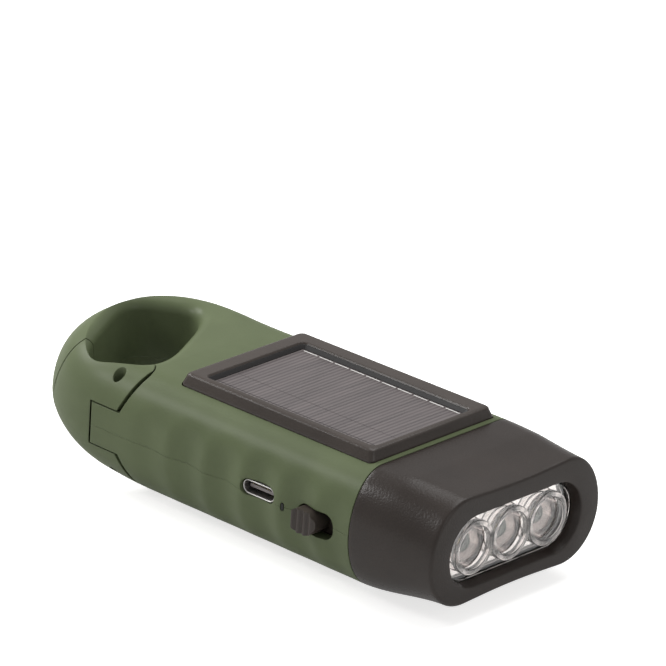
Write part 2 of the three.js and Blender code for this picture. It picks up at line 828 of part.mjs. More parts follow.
const batteryZ = floor + gap + batteryRadius;
const screwSeat = underside + edgeRecess(caseScrewY) + screwHeadHeight + gap;

// How far the lower rounded edge has risen where the side has come in to a given y
function edgeRecess(y) {
  const share = Math.max(1 - (halfWidth - Math.abs(y)) / edgeAcross, 0);
  return (seam - underside) * (1 - Math.sqrt(1 - share * share));
}

function carabinerGate() {
  const ring = housing(0).intersect(gateRoom(0)).subtract(loopHole());
  const armZ = seam - springTurns * springPitch / 2;
  const armRoom = springWire + gap;
  const armHole = solid(block(gatePinX - knuckleRadius - springRadius - gap, gatePinX,
    gatePinY - springRadius - armRoom, gatePinY - springRadius + armRoom, armZ - armRoom, armZ + armRoom));
  return ring.subtract(pinBore()).subtract(armHole);
}

const gatePin = () => solid(rod(gatePinRadius, pinBottom, pinTop, gatePinX, gatePinY, roundSides));

// Section of the bezel at a station: 0 at the housing, 1 at the lamp face
function bezelSection(x, share, inset) {
  const mix = (rear, front) => rear + (front - rear) * share;
  const half = mix(halfWidth, faceHalfWidth) - inset;
  const top = mix(topside, topside - faceTop) - inset;
  const bottom = mix(underside, underside + faceBottom) + inset;
  const across = mix(edgeAcross, faceCorner);
  const waist = mix(0, faceWaist);
  const flatHalf = half - across;
  const quarter = (y0, z0, height, start) => arc(0, 0, 1, start, start + 90, 6)
    .map(([a, b]) => [y0 + across * a, z0 + height * b]);
  const flatLine = (z, sign) => [1 / 2, 0, -1 / 2].map((s) => [sign * s * flatHalf, z - sign * waist * (1 - s * s)]);
  return [
    ...quarter(flatHalf, seam, top - seam, 0),
    ...flatLine(top, 1),
    ...quarter(-flatHalf, seam, top - seam, 90),
    ...quarter(-flatHalf, seam, seam - bottom, 180).slice(1),
    ...flatLine(bottom, -1),
    ...quarter(flatHalf, seam, seam - bottom, 270).slice(0, -1),
  ].map(([y, z]) => new THREE.Vector3(x, y, z));
}

function bezelShape(inset, startX, endX, fillet) {
  const shareAt = (x) => THREE.MathUtils.smoothstep(x, bezelX, faceX);
  const steps = 5;
  const stations = Array.from({ length: steps + 1 }, (_, i) => startX + (endX - fillet - startX) * i / steps);
  const rings = stations.map((x) => bezelSection(x, shareAt(x), inset));
  if (fillet) rings.push(bezelSection(endX - fillet / 3, 1, inset + fillet / 3), bezelSection(endX, 1, inset + fillet));
  return solid(stack(rings, seenFromLamp));
}

// Window outline with round ends, across the torch and up
function windowOutline(grow) {
  const radius = windowRadius + grow;
  const middle = windowHalfWidth - windowRadius;
  return [
    ...arc(0, middle, radius, 0, 180, 10),
    ...arc(0, -middle, radius, 180, 360, 10),
  ];
}

const windowPrism = (grow, x0, x1) => solid(alongX(prism(windowOutline(grow), 0, x1 - x0), x0, 0, seam));

function frontBezel() {
  const backOfWall = faceX - bezelFrontWall;
  const inside = bezelShape(bezelWall, bezelX - overrun, backOfWall, 0);
  const draft = (grow, z) => windowOutline(grow).map(([x, y]) => new THREE.Vector3(x, y, z));
  const flared = stack([
    draft(0, -overrun),
    draft(0, 0),
    draft(windowDraft, bezelFrontWall),
    draft(windowDraft + overrun, bezelFrontWall + overrun),
  ], seenFromAbove);
  return bezelShape(0, bezelX, faceX, faceFillet).subtract(inside)
    .subtract(solid(alongX(flared, backOfWall, 0, seam)));
}

// Places of the lamps across the torch
const lampPlaces = Array.from({ length: lampCount }, (_, i) => (i - (lampCount - 1) / 2) * lampPitch);
const lensFront = faceX - bezelFrontWall;
const lensBack = lensFront - gap - lensThickness;
const reflectorFront = lensBack - gap;
const reflectorBack = reflectorFront - reflectorDepth;

function lampLens() {
  const flange = windowPrism(lensFlange, lensBack, lensFront - gap);
  const window = windowPrism(-gap, lensFront - gap - lensThickness / 2, lensFront);
  let lens = flange.add(window);
  for (const y of lampPlaces) {
    const rim = [
      [bossInnerRadius, -lensThickness / 2],
      [bossRadius, -lensThickness / 2],
      [bossRadius, bossHeight - gap],
      [bossRadius - gap, bossHeight],
      [bossInnerRadius, bossHeight],
    ];
    lens = lens.add(solid(alongX(turned([...rim, rim[0]]), lensFront, y, seam)));
  }
  return lens;
}

// Parabolic cup that opens towards the lamp face
function cup(y) {
  const profile = [[0, -overrun], [cupThroat, -overrun]];
  const steps = 4;
  for (let i = 0; i <= steps; i += 1) {
    const share = i / steps;
    profile.push([cupThroat + (cupMouth - cupThroat) * Math.sqrt(share), cupDepth * share]);
  }
  profile.push([cupMouth, cupDepth + overrun], [0, cupDepth + overrun]);
  return solid(alongX(turned(profile), reflectorFront - cupDepth, y, seam));
}

const lampReflector = () => lampPlaces.reduce(
  (shape, y) => shape.subtract(cup(y)),
  windowPrism(lensFlange, reflectorBack, reflectorFront),
);

const ledBoardFront = reflectorBack - gap;

function led(y) {
  const dome = arc(0, ledLength - ledRadius, ledRadius, 0, 90, 3).slice(0, -1);
  const profile = [
    [0, 0],
    [ledFlangeRadius, 0],
    [ledFlangeRadius, ledFlangeThickness],
    [ledRadius, ledFlangeThickness],
    ...dome,
    [0, ledLength],
  ];
  return solid(alongX(turned(profile, 0, 0, pinSides), ledBoardFront + gap / 3, y, seam));
}

function ledBoard() {
  const outline = roundedRectangle(-ledBoardHalfHeight, ledBoardHalfHeight, -ledBoardHalfWidth, ledBoardHalfWidth, 2);
  return solid(alongX(prism(outline, 0, boardThickness), ledBoardFront - boardThickness, 0, seam));
}

// Cavity in the reflector's back that seats the LED flanges
function reflectorWithSeats() {
  const seat = ledFlangeThickness + gap;
  return lampPlaces.reduce((shape, y) => shape.subtract(
    solid(alongX(rod(ledFlangeRadius + gap, -overrun, seat), reflectorBack, y, seam)),
  ), lampReflector());
}

function mainBoard() {
  const board = solid(block(boardStartX, boardEndX, boardOuterY, boardInnerY, boardBottom, boardTop));
  return casePlaces.reduce((shape, [x, y]) => drill(shape, bossOuterRadius + gap, 0, topside, x, y), board);
}

const usbFront = -(halfWidth - scallopDepth) + gap / 3;

function usbShell() {
  const z = seam + usbAboveSeam;
  const outer = prism(stadium(usbWidth, usbHeight), 0, usbDepth);
  const inner = prism(stadium(usbWidth - 2 * usbWall, usbHeight - 2 * usbWall), 0, usbDepth);
  return solid(towardsNear(outer, usbX, usbFront + usbDepth, z))
    .subtract(solid(towardsNear(inner, usbX, usbFront + usbDepth - tongueSetback, z)));
}

function usbTongue() {
  const z = seam + usbAboveSeam;
  const y1 = usbFront + usbDepth - tongueSetback - gap / 3;
  return solid(block(usbX - tongueWidth / 2, usbX + tongueWidth / 2, usbFront + tongueSetback, y1,
    z - tongueHeight / 2, z + tongueHeight / 2));
}

// Knob of the slide switch with upright ribs, and the slide behind the wall
function switchKnob() {
  const z = seam - switchBelowSeam;
  const x0 = switchX - knobWidth / 2;
  const outerY = -halfWidth - knobProud;
  const innerY = slideY + slideThickness;
  const ribPitch = knobWidth / (knobRibs + 1);
  const plan = [[x0, innerY], [x0 + knobWidth, innerY], [x0 + knobWidth, outerY + knobRibDepth * 2]];
  for (let i = knobRibs; i >= 1; i -= 1) {
    const x = x0 + i * ribPitch;
    plan.push([x + ribPitch / 3, outerY + knobRibDepth], [x + ribPitch / 6, outerY]);
    plan.push([x - ribPitch / 6, outerY], [x - ribPitch / 3, outerY + knobRibDepth]);
  }
  plan.push([x0, outerY + knobRibDepth * 2]);
  const face = roundedRectangle(x0, x0 + knobWidth, -knobHeight / 2, knobHeight / 2, knobCornerRadius);
  const knob = solid(prism(plan, z - knobHeight, z + knobHeight))
    .intersect(solid(towardsNear(prism(face, 0, halfWidth + knobProud), 0, 0, z)));
  const slide = solid(block(x0 - slideMargin, x0 + knobWidth + slideMargin, slideY, slideY + slideThickness,
    z - knobHeight / 2 - slideMargin, z + knobHeight / 2 + slideMargin));
  return knob.add(slide);
}

const slideY = sideWall + 3 * gap - halfWidth;
const switchFront = slideY + slideThickness + gap;

function switchBody() {
  return solid(block(switchX - switchLength / 2, switchX + switchLength / 2, switchFront,
    switchFront + switchDepth, boardTop, boardTop + switchHeight));
}

const lightPipe = () => solid(towardsNear(
  prism(indicatorOutline(0), 0, halfWidth + boardOuterY - scallopDepth / 2), indicatorX, boardOuterY, seam,
));

const battery = () => solid(turned([
  [0, 0],
  [batteryRadius, 0],
  [batteryRadius, batteryLength - 1.5 * gap],
  [batteryRadius / 2.5, batteryLength - 1.5 * gap],
  [batteryRadius / 2.5, batteryLength],
  [0, batteryLength],
]).rotateX(Math.PI / 2).translate(batteryX, batteryLength / 2, batteryZ));

const hingeX = hubX + hingeOffset;
const hingeZ = barrelRadius;
const armBottom = padBottom;
const armTop = armBottom + armThickness;
const knobX = hingeX - knobReach;

// Plan of the crank arm, or of its slot in the hub when grown
function armPlan(grow, hingeEnd) {
  const half = armWidth / 2 + grow;
  const freeX = hingeX - armReach;
  return [
    ...arc(freeX + armWidth / 2, 0, half, 90, 270, 10),
    [hingeEnd, -half],
    [hingeEnd, half],
  ];
}

function crankHub() {
  const flangeLow = floor + hubFlangeLift;
  const body = solid(turned([
    [0, padBottom],
    [hubRadius, padBottom],
    [hubRadius, flangeLow],
    [hubRadius + hubFlange, flangeLow],
    [hubRadius + hubFlange, flangeLow + hubFlangeThickness],
    [hubRadius, flangeLow + hubFlangeThickness],
    [hubRadius, hubTop],
    [hubShaftRadius, hubTop],
    [hubShaftRadius, driveTop],
    [0, driveTop],
  ], hubX, 0, hubSides));
  const slot = solid(prism(armPlan(gap, hingeX + barrelRadius + gap), padBottom - overrun, armTop + gap));
  const pocketRadius = crankKnobRadius + gap;
  const pocket = solid(prism([
    ...arc(knobX, 0, pocketRadius, -90, 90, 8),
    ...arc(knobX - knobSwing, 0, pocketRadius, 90, 270, 8),
  ], armTop, armTop + gap + crankKnobHeight + postHeadHeight / 2 + gap));
  const pinHalf = armWidth / 2 + gap;
  const pinHole = solid(rod(hingePinRadius + runningFit, -pinHalf, pinHalf, 0, 0, pinSides)
    .rotateX(Math.PI / 2).translate(hingeX, 0, hingeZ));
  return body.subtract(slot).subtract(pocket).add(hingeEars()).subtract(pinHole);
}

// Ears of the hub on both sides of the arm's barrel
function hingeEars() {
  const inner = knuckleWidth / 2;
  const outer = armWidth / 2 + gap + hingeEar;
  const ear = solid(rod(barrelRadius, inner, outer, 0, 0, pinSides).rotateX(Math.PI / 2).translate(hingeX, 0, hingeZ))
    .add(solid(block(hingeX - barrelRadius / 2, hingeX + barrelRadius + gap, -outer, -inner, hingeZ, armTop + gap)));
  return ear.add(ear.mirror([0, 1, 0]));
}

function crankArm() {
  const half = armWidth / 2;
  const knuckleHalf = knuckleWidth / 2 - gap;
  const plate = solid(prism(armPlan(0, hingeX - barrelRadius - gap), armBottom, armTop));
  const neck = solid(block(hingeX - barrelRadius * 2, hingeX, -knuckleHalf, knuckleHalf, armBottom, armTop - gap));
  const barrel = solid(rod(barrelRadius, -knuckleHalf, knuckleHalf, 0, 0, pinSides)
    .rotateX(Math.PI / 2).translate(hingeX, 0, hingeZ));
  const freeX = hingeX - armReach;
  const lip = solid(prism(arc(freeX + half, 0, half, 120, 240, 8), 0, armTop - armThickness / 2))
    .intersect(solid(block(freeX - overrun, freeX + lipLength, -half, half, 0, armTop)));
  const pinHole = solid(rod(hingePinRadius + runningFit, -half, half, 0, 0, pinSides)
    .rotateX(Math.PI / 2).translate(hingeX, 0, hingeZ));
  const postHole = solid(rod(crankKnobBore + runningFit, armBottom - overrun, armTop + overrun, knobX, 0, pinSides));
  const headSeat = solid(rod(postHeadRadius + gap, armBottom - overrun, armBottom + postHeadHeight + gap, knobX, 0, pinSides));
  return plate.add(neck).add(barrel).add(lip).subtract(pinHole).subtract(postHole).subtract(headSeat);
}

function hingePin() {
  const pinHalf = armWidth / 2 + gap - runningFit;
  return solid(rod(hingePinRadius, -pinHalf, pinHalf, 0, 0, pinSides)
    .rotateX(Math.PI / 2).translate(hingeX, 0, hingeZ));
}

// Shouldered rivet that carries the knob on the arm
const knobPost = () => solid(turned([
  [0, armBottom + gap],
  [postHeadRadius, armBottom + gap],
  [postHeadRadius, armBottom + gap + postHeadHeight - gap],
  [crankKnobBore, armBottom + gap + postHeadHeight - gap],
  [crankKnobBore, armTop + gap + crankKnobHeight - postHeadHeight],
  [postHeadRadius, armTop + gap + crankKnobHeight - postHeadHeight],
  [postHeadRadius, armTop + gap + crankKnobHeight - gap],
  [0, armTop + gap + crankKnobHeight - gap],
], knobX, 0, pinSides));

function crankKnob() {
  const low = armTop + gap;
  const high = low + crankKnobHeight;
  const soft = crankKnobRadius / 8;
  const bore = crankKnobBore + runningFit * 2;
  const seat = postHeadRadius + gap;
  const profile = [
    [bore, low],
    [crankKnobRadius - soft, low],
    [crankKnobRadius, low + soft],
    [crankKnobRadius, high - soft],
    [crankKnobRadius - soft, high],
    [seat, high],
    [seat, high - postHeadHeight - gap],
    [bore, high - postHeadHeight - gap],
  ];
  return solid(turned([...profile, profile[0]], knobX, 0));
}

const driveGear = () => gear(driveTeeth, hubX, 0, firstTurn, driveBottom, driveTop)
  .subtract(solid(rod(hubShaftRadius + runningFit, driveBottom - overrun, driveTop + overrun, hubX, 0)));

// Compound gear: a pinion below and a wheel above on one bore
function compoundGear(x, y, pinionTurn, wheelTeeth, wheelTurn, low, step, high) {
  return gear(pinionTeeth, x, y, pinionTurn, low, step + meshOverlap)
    .add(gear(wheelTeeth, x, y, wheelTurn, step, high))
    .subtract(solid(rod(axleRadius + runningFit, low - overrun, high + overrun, x, y, pinSides)));
}

const axle = (x, y, low, high) => solid(rod(axleRadius, low, high, x, y, pinSides));

// Plate that carries the hub's shaft and the first axle
function gearPlate() {
  const outline = roundedRectangle(plateStartX, plateEndX, -plateHalfWidth, plateHalfWidth, plateCorner, 3);
  const low = plateBottom - overrun;
  const high = plateTop + overrun;
  let plate = solid(prism(outline, plateBottom, plateTop));
  plate = plate.subtract(solid(rod(hubShaftRadius + runningFit, low, high, hubX, 0)));
  plate = drill(plate, axleRadius + runningFit, low, high, firstX, firstY);
  for (const [x, y] of platePlaces) plate = drill(plate, screwRadius + screwClearance, low, high, x, y);
  return plate;
}

const legPlaces = [
  [nearLegX, nearLegY],
  [farLegX, farLegY],
  [tailLegX, tailLegY],
];

// Plate over the gears with three legs, which carries the axles and the generator
function upperPlate() {
  const [nearLeg, ...otherLegs] = legPlaces;
  const hull = [nearLeg, [firstX, firstY], ...otherLegs].map(([x, y]) => new THREE.Vector2(x, y));
  const outline = hull.flatMap((corner, i) => {
    const before = hull[(i + hull.length - 1) % hull.length];
    const after = hull[(i + 1) % hull.length];
    const turnOf = (a, b) => Math.atan2(b.y - a.y, b.x - a.x) * 180 / Math.PI - 90;
    const start = turnOf(before, corner);
    const sweep = (turnOf(corner, after) - start + 720) % 360;
    return arc(corner.x, corner.y, legRadius * 2, start, start + sweep, 4);
  });
  let plate = solid(prism(outline, upperBottom, upperTop));
  for (const [x, y] of legPlaces) plate = plate.add(solid(rod(legRadius, plateTop, upperTop, x, y, pinSides)));
  const holes = [
    rod(axleRadius + runningFit, upperBottom - overrun, upperTop + overrun, firstX, firstY, pinSides),
    rod(axleRadius + runningFit, upperBottom - overrun, upperTop + overrun, secondX, secondY, pinSides),
    rod(rotorShaftRadius + runningFit * 2, upperBottom - overrun, upperTop + overrun, rotorX, rotorY, pinSides),
  ];
  return holes.reduce((shape, hole) => shape.subtract(solid(hole)), plate);
}

const magnetBottom = upperTop + gap + coilWall;

function rotorPinion() {
  const shaft = solid(rod(rotorShaftRadius, secondTop - gap, magnetBottom + magnetHeight, rotorX, rotorY, pinSides));
  return gear(rotorTeeth, rotorX, rotorY, rotorPinionTurn, secondStep, secondTop).add(shaft);
}

function rotorMagnet() {
  const low = magnetBottom;
  const high = low + magnetHeight;
  const bore = rotorShaftRadius + runningFit;
  const profile = [[bore, low], [magnetRadius, low], [magnetRadius, high], [bore, high]];
  return solid(turned([...profile, profile[0]], rotorX, rotorY));
}

// Bobbin of the generator coil: a ring with two cheeks, on the upper plate
function coilBobbin() {
  const inner = magnetRadius + 2 * gap;
  const low = upperTop + gap;
  const high = low + coilHeight;
  const profile = [
    [inner, low],
    [coilOuterRadius, low],
    [coilOuterRadius, low + coilWall / 2],
    [inner + coilWall, low + coilWall / 2],
    [inner + coilWall, high - coilWall / 2],
    [coilOuterRadius, high - coilWall / 2],
    [coilOuterRadius, high],
    [inner, high],
  ];
  return solid(turned([...profile, profile[0]], rotorX, rotorY));
}

function coilWinding() {
  const inner = magnetRadius + 2 * gap + coilWall + gap;
  const outer = coilOuterRadius - gap;
  const low = upperTop + gap + coilWall / 2 + gap;
  const high = upperTop + gap + coilHeight - coilWall / 2 - gap;
  const profile = [[inner, low], [outer, low], [outer, high], [inner, high]];
  return solid(turned([...profile, profile[0]], rotorX, rotorY));
}

// Case screw from below: head in its counterbore, shank up into the top shell
const caseScrew = (x, y) => solid(turned([
  [0, screwSeat - screwHeadHeight - screwClearance],
  [screwHeadRadius, screwSeat - screwHeadHeight - screwClearance],
  [screwHeadRadius, screwSeat - screwClearance],
  [screwRadius - screwClearance, screwSeat - screwClearance],
  [screwRadius - screwClearance, ceiling - 2 * gap],
  [0, ceiling - 2 * gap],
], x, y, screwSides));

const plateScrew = (x, y) => solid(turned([
  [0, plateBottom - postScrewDepth + gap],
  [screwRadius - screwClearance, plateBottom - postScrewDepth + gap],
  [screwRadius - screwClearance, plateTop + gap / 2],
  [screwHeadRadius, plateTop + gap / 2],
  [screwHeadRadius, plateTop + gap / 2 + screwHeadHeight],
  [0, plateTop + gap / 2 + screwHeadHeight],
], x, y, screwSides));

// Finishes
const greenPlastic = paint(0x5b6b4b, 0.6);
const blackPlastic = paint(0x2c2a29, 0.6);
const greyPlastic = paint(0x3a3a3a, 0.7);
const whitePlastic = paint(0xe6e4dc, 0.5);
const clearPlastic = paint(0xdfe5e8, 0.1);
const chrome = paint(0xd0d2d4, 0.15, 1);
const steel = paint(0x9a9c9e, 0.35, 1);
const brass = paint(0xb08a4a, 0.35, 1);
const copper = paint(0xb06a3a, 0.4, 1);
const solarCell = paint(0x4a4648, 0.35);
const boardGreen = paint(0x1f5a36, 0.6);
const batteryWrap = paint(0x2f5f8a, 0.5);

const torch = new THREE.Group();
torch.add(
  part('top_shell', topShell(), greenPlastic),
  part('bottom_shell', bottomShell(), greenPlastic.clone()),
  part('carabiner_gate', carabinerGate(), greenPlastic.clone()),
  part('gate_pin', gatePin(), steel),
  part('gate_spring', gateSpring(), steel.clone()),
  part('front_bezel', frontBezel(), blackPlastic),
  part('lens', lampLens(), clearPlastic),
  part('reflector', reflectorWithSeats(), chrome),
  part('led_board', ledBoard(), boardGreen),
  part('solar_frame', solarFrame(), blackPlastic.clone()),
  part('solar_panel', solarPanel(), solarCell),
  part('main_board', mainBoard(), boardGreen.clone()),
  part('usb_shell', usbShell(), steel.clone()),
  part('usb_tongue', usbTongue(), blackPlastic.clone()),
  part('switch_knob', switchKnob(), blackPlastic.clone()),
  part('switch_body', switchBody(), steel.clone()),
  part('light_pipe', lightPipe(), clearPlastic.clone()),
  part('battery', battery(), batteryWrap),
  part('crank_hub', crankHub(), blackPlastic.clone()),
  part('crank_arm', crankArm(), blackPlastic.clone()),
  part('hinge_pin', hingePin(), steel.clone()),
  part('knob_post', knobPost(), steel.clone()),
  part('crank_knob', crankKnob(), blackPlastic.clone()),
  part('gear_plate', gearPlate(), greyPlastic),
  part('upper_plate', upperPlate(), greyPlastic.clone()),
  part('drive_gear', driveGear(), whitePlastic),
  part('compound_gear_1', compoundGear(firstX, firstY, meshTurn(pinionTeeth, firstTurn), firstWheelTeeth, secondTurn,
    firstBottom, firstStep, firstTop), whitePlastic.clone()),
  part('compound_gear_2', compoundGear(secondX, secondY, meshTurn(pinionTeeth, secondTurn), secondWheelTeeth, rotorTurn,
    secondBottom, secondStep, secondTop), whitePlastic.clone()),
  part('axle_1', axle(firstX, firstY, plateBottom, upperTop), steel.clone()),
  part('axle_2', axle(secondX, secondY, secondBottom, upperTop), steel.clone()),
  part('rotor_pinion', rotorPinion(), brass),
  part('rotor_magnet', rotorMagnet(), greyPlastic.clone()),
  part('coil_bobbin', coilBobbin(), whitePlastic.clone()),
  part('coil_winding', coilWinding(), copper),
);
lampPlaces.forEach((y, i) => torch.add(part(`led_${i + 1}`, led(y), clearPlastic.clone())));
casePlaces.forEach(([x, y], i) => torch.add(part(`case_screw_${i + 1}`, caseScrew(x, y), steel.clone())));
platePlaces.forEach(([x, y], i) => torch.add(part(`plate_screw_${i + 1}`, plateScrew(x, y), steel.clone())));

// The knob of the switch stands out on the near side, so the middle of the whole lies off the housing's
torch.position.y = knobProud / 2;

export default torch;
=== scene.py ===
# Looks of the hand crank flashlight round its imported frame
# Sizes are in millimetres until a mesh is made, and the meshes are in metres
import math

import bmesh
import bpy
from mathutils import Matrix, Vector


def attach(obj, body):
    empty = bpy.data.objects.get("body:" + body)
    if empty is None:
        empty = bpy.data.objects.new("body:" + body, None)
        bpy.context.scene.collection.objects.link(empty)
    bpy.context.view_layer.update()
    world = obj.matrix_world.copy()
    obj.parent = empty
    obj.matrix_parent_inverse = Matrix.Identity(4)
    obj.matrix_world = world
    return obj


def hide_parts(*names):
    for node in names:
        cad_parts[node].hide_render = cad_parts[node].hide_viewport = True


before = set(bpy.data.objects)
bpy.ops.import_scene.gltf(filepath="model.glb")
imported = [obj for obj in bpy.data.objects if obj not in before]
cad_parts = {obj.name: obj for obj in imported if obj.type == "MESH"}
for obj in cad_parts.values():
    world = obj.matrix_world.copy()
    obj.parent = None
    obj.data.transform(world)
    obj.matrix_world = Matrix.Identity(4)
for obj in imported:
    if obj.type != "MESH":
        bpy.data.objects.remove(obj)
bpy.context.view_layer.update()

MM = 0.001
# The shapes are drawn about the housing's middle, and the frame about that of the whole box
SHIFT_Y = 0.8
# Clearance between neighbours, and reach of a cutter past what it cuts
GAP = 0.3
OVER = 5

# Housing
TAIL_X = -61
FACE_X = 61
BEZEL_X = 39.2
HALF_WIDTH = 26.8
UNDERSIDE = 2.15
SEAM = 15.25
TOPSIDE = 28.65
EDGE = 9.2
NEAR_TAIL_EDGE = 8.2
FAR_TAIL_EDGE = 5.6
TAIL_NARROWING = 1
FAR_TAIL_LENGTH = 30
NEAR_TAIL_LENGTH = 28
FAR_TAIL_SHARE = 0.77
NEAR_TAIL_SHARE = 0.94
TAIL_LIFT = 7
TAIL_LIFT_LENGTH = 41
SIDE_WALL = 3
FLOOR = 4.05
CEILING = 26
CAVITY_X = -23.5
CAVITY_CORNER = 8
CAVITY_LEVELS = 12
SEAM_GROOVE = 0.05
STATION_STEPS = 10
TAIL_STATIONS = (2, 4, 6)
TAIL_STEPS = 44
EDGE_STEPS = 18

# Pad of the underside, with the rises and insets of its rounded edge
PAD_BOTTOM = 1.65
PAD_LENGTH = 61.4
PAD_HALF_WIDTH = 17.6
PAD_CORNER = 3
PAD_EDGE = [(0, 0.35), (0.12, 0.1), (0.3, 0)]

# Finger scallops
PITCH = 10.65
FIRST_CUSP_X = -12.6
CUSPS = 5
SCALLOP_DEPTH = 1
SCALLOP_POWER = 1.5
SCALLOP_END_SHARE = 0.5
SCALLOP_FADE_TOP = 4
SCALLOP_FADE = 6
SCALLOP_FOOT = 6

# Inside of the shells: spigots under the bezel, posts, screw holes and battery cradle
SPIGOT_BACK = 1
SPIGOT_LENGTH = 4
BEYOND = 40
ABOVE_ALL = 60
ROOT = 3.1
SCREWS = [(35.6, 15.2), (35.6, -15.2), (-19.5, 15.2), (-19.5, -15.2)]
POST_RADIUS = 2.6
POST_RISE = 1.3
THREAD_RADIUS = 1.1
SHANK_ROOM = 1.22
HEAD_ROOM = 2.12
HEAD_LEVEL = 3.75
PLATE_POSTS = [(30, 13), (30, -13), (-8.5, 13), (-8.5, -13)]
PLATE_POST_RADIUS = 2
PLATE_POST_TOP = 11.95
PLATE_THREAD = (6.95, 17)
CRADLE_X = (-23.2, -13)
CRADLE_Y = 9
CRADLE_HALF = 1
CRADLE_TOP = 7.75
BATTERY = (-18.1, 9.45)
BATTERY_ROOM = 5.4
BATTERY_HALF = 12.1

# Case screws, as [radius, height], and the cross recess in their heads
SCREW = [(0, 2.33), (1.8, 2.33), (1.95, 2.45), (2, 2.63), (2, 3.63), (0.98, 3.63), (0.98, 25.4),
         (0, 25.4)]
CROSS = (1.1, 0.22)
CROSS_LEVELS = (1.33, 3.03)

# Loop and gate
HOLE = (-41.53, -3.46)
HOLE_LONG = 17.2
HOLE_SHORT = 9.1
HOLE_SQUARENESS = 3.3
HOLE_CORNER_SHARE = 0.09
HOLE_CORNER = (238, 26)
HOLE_TURN = math.radians(-63.9)
HOLE_SIDES = 120
RIM = 3
RIM_STEPS = 10
PIN = (-31.1, -21.45)
PIN_RADIUS = 1.15
RECESS_RADIUS = 1.35
RECESS_DEPTH = 3
GATE_REACH = 16.3
GATE_TAPER = 0.3
TIP_TURN = 138
HEEL_TURN = 116
LUG_REACH = 6.42
LUG_SLOPE = 0.41
LUG_ROUNDING = 0.8
LUG_GAP = 1
LUG_OVERLAP = 2
KNUCKLE = 5.6
TONGUE_TOP = SEAM + 4.7
TONGUE_BOTTOM = SEAM - 4.5

# Room of the gate's spring and of its two legs
SPRING_HALF = 1.725
SPRING_RADIUS = 2
LEG_LENGTH = 6.9
LEG_OFFSET = 1.5
LEG_HALF = 0.6
LEG_HEIGHT = 1.5
LEG_DROP = 1.125
GATE_LEG_LENGTH = 1.8

# Solar frame and panel
FRAME_X = 10.7
FRAME_Y = -0.35
FRAME_LENGTH = 52.1
FRAME_TAIL_WIDTH = 34.8
FRAME_LAMP_WIDTH = 35.6
FRAME_TOP = 31.05
FRAME_BOTTOM = 27.85
FRAME_FLARE = 1
FRAME_CORNER = 1.2
FRAME_SHOULDER = 0.4
FRAME_ROUNDING = 0.6
FRAME_STEPS = 8
PANEL_X = 12
PANEL_Y = -1.5
PANEL_LENGTH = 45.2
PANEL_WIDTH = 27.7
PANEL_TOP = 29.85
PANEL_THICKNESS = 1.1

# Outlines at the frame's foot, in its opening and on the black liner of painted shade over the
# opening's wall, as [growth, height]
FRAME_FOOT = [(0, FRAME_BOTTOM), (0, TOPSIDE + 0.2), (-0.06, TOPSIDE + 0.34)]
FRAME_OPENING = [(0, PANEL_TOP - PANEL_THICKNESS), (0, PANEL_TOP), (0.72, FRAME_TOP - 0.22),
                 (0.8, FRAME_TOP - 0.1), (0.95, FRAME_TOP), (1, FRAME_TOP + OVER)]
SHADE_LINER_OUTSIDE = [(-0.02, PANEL_TOP - 0.3), (-0.02, PANEL_TOP), (0.58, FRAME_TOP - 0.4)]
SHADE_LINER_INSIDE = [(-0.14, PANEL_TOP - 1), (-0.14, PANEL_TOP), (0.56, FRAME_TOP - 0.35),
                 (0.7, FRAME_TOP)]

# Conductors on the panel, measured in y from its near or far edge
CELL_START = PANEL_X - PANEL_LENGTH / 2 + 0.4
CELL_END = PANEL_X + PANEL_LENGTH / 2 - 0.5
BUS_BARS = 10
BUS_GAP = 0.3
BUS_NEAR = 0.7
BUS_FAR = 0.42
BUS_HEIGHT = 0.05
BORDER_NEAR = 1.35
BORDER_FAR = 1.47
BORDER_HEIGHT = 0.03
WIRE_SHARE = 0.27
WIRE_HALF = 0.04
WIRE_HEIGHT = 0.02

# Bezel and its window
FACE_HALF = 25.9
FACE_TOP = 0.85
FACE_BOTTOM = 2
FACE_CORNER = 10.5
FACE_WAIST = 0.5
WAIST_POWER = 1.3
FACE_FILLET = 0.7
REAR_FILLET = 0.35
CREASE_X = 48
BEZEL_WALL = 2
FRONT_WALL = 2.4
BEZEL_STEPS = 22
REAR_STEPS = 5
FILLET_STEPS = 6
CORNER_STEPS = 20
FLAT_STEPS = 8
WINDOW_HALF = 19.5
WINDOW_RADIUS = 7.25
WINDOW_STEPS = 32
WINDOW_FLARE = 6
# Rounded edge of the window, as [depth behind the face, growth]
WINDOW_EDGE = [(0.25, 0.62), (0.1, 0.7), (0.025, 0.85), (0, 1.05)]

# Lens and reflector
LAMP_PITCH = 11.24
LAMPS = [-LAMP_PITCH, 0, LAMP_PITCH]
FLANGE = 1.4
LENS_FRONT = FACE_X - FRONT_WALL
LENS_BACK = LENS_FRONT - 1.5
LENS_STEP = 0.9
REFLECTOR_FRONT = LENS_BACK - GAP
REFLECTOR_BACK = REFLECTOR_FRONT - 7.5
CUP_DEPTH = 6.3
CUP_FOOT = 2.75
CUP_SPREAD = 2.35
CUP_STEPS = 20
LED_ROOM = 3.2
LED_ROOM_DEPTH = 1.3

# LEDs: [radius, height] profiles and the chip
LED_BACK = REFLECTOR_BACK - GAP + GAP / 3
LED_FOOT = [(0, 0), (2.9, 0), (2.9, 1), (2.5, 1)]
LED_DOME = (0, 5.1, 2.5, 0, 90, 12)
LED_CUP = [(0, 1.6), (0.5, 1.6), (0.5, 3), (1.25, 3.7), (1.1, 3.7), (0.55, 3.25), (0, 3.25)]
CHIP_SIZE = (-0.5, 0.5, -0.5, 0.5, 0.12)
CHIP_LEVELS = (3.25, 3.55)

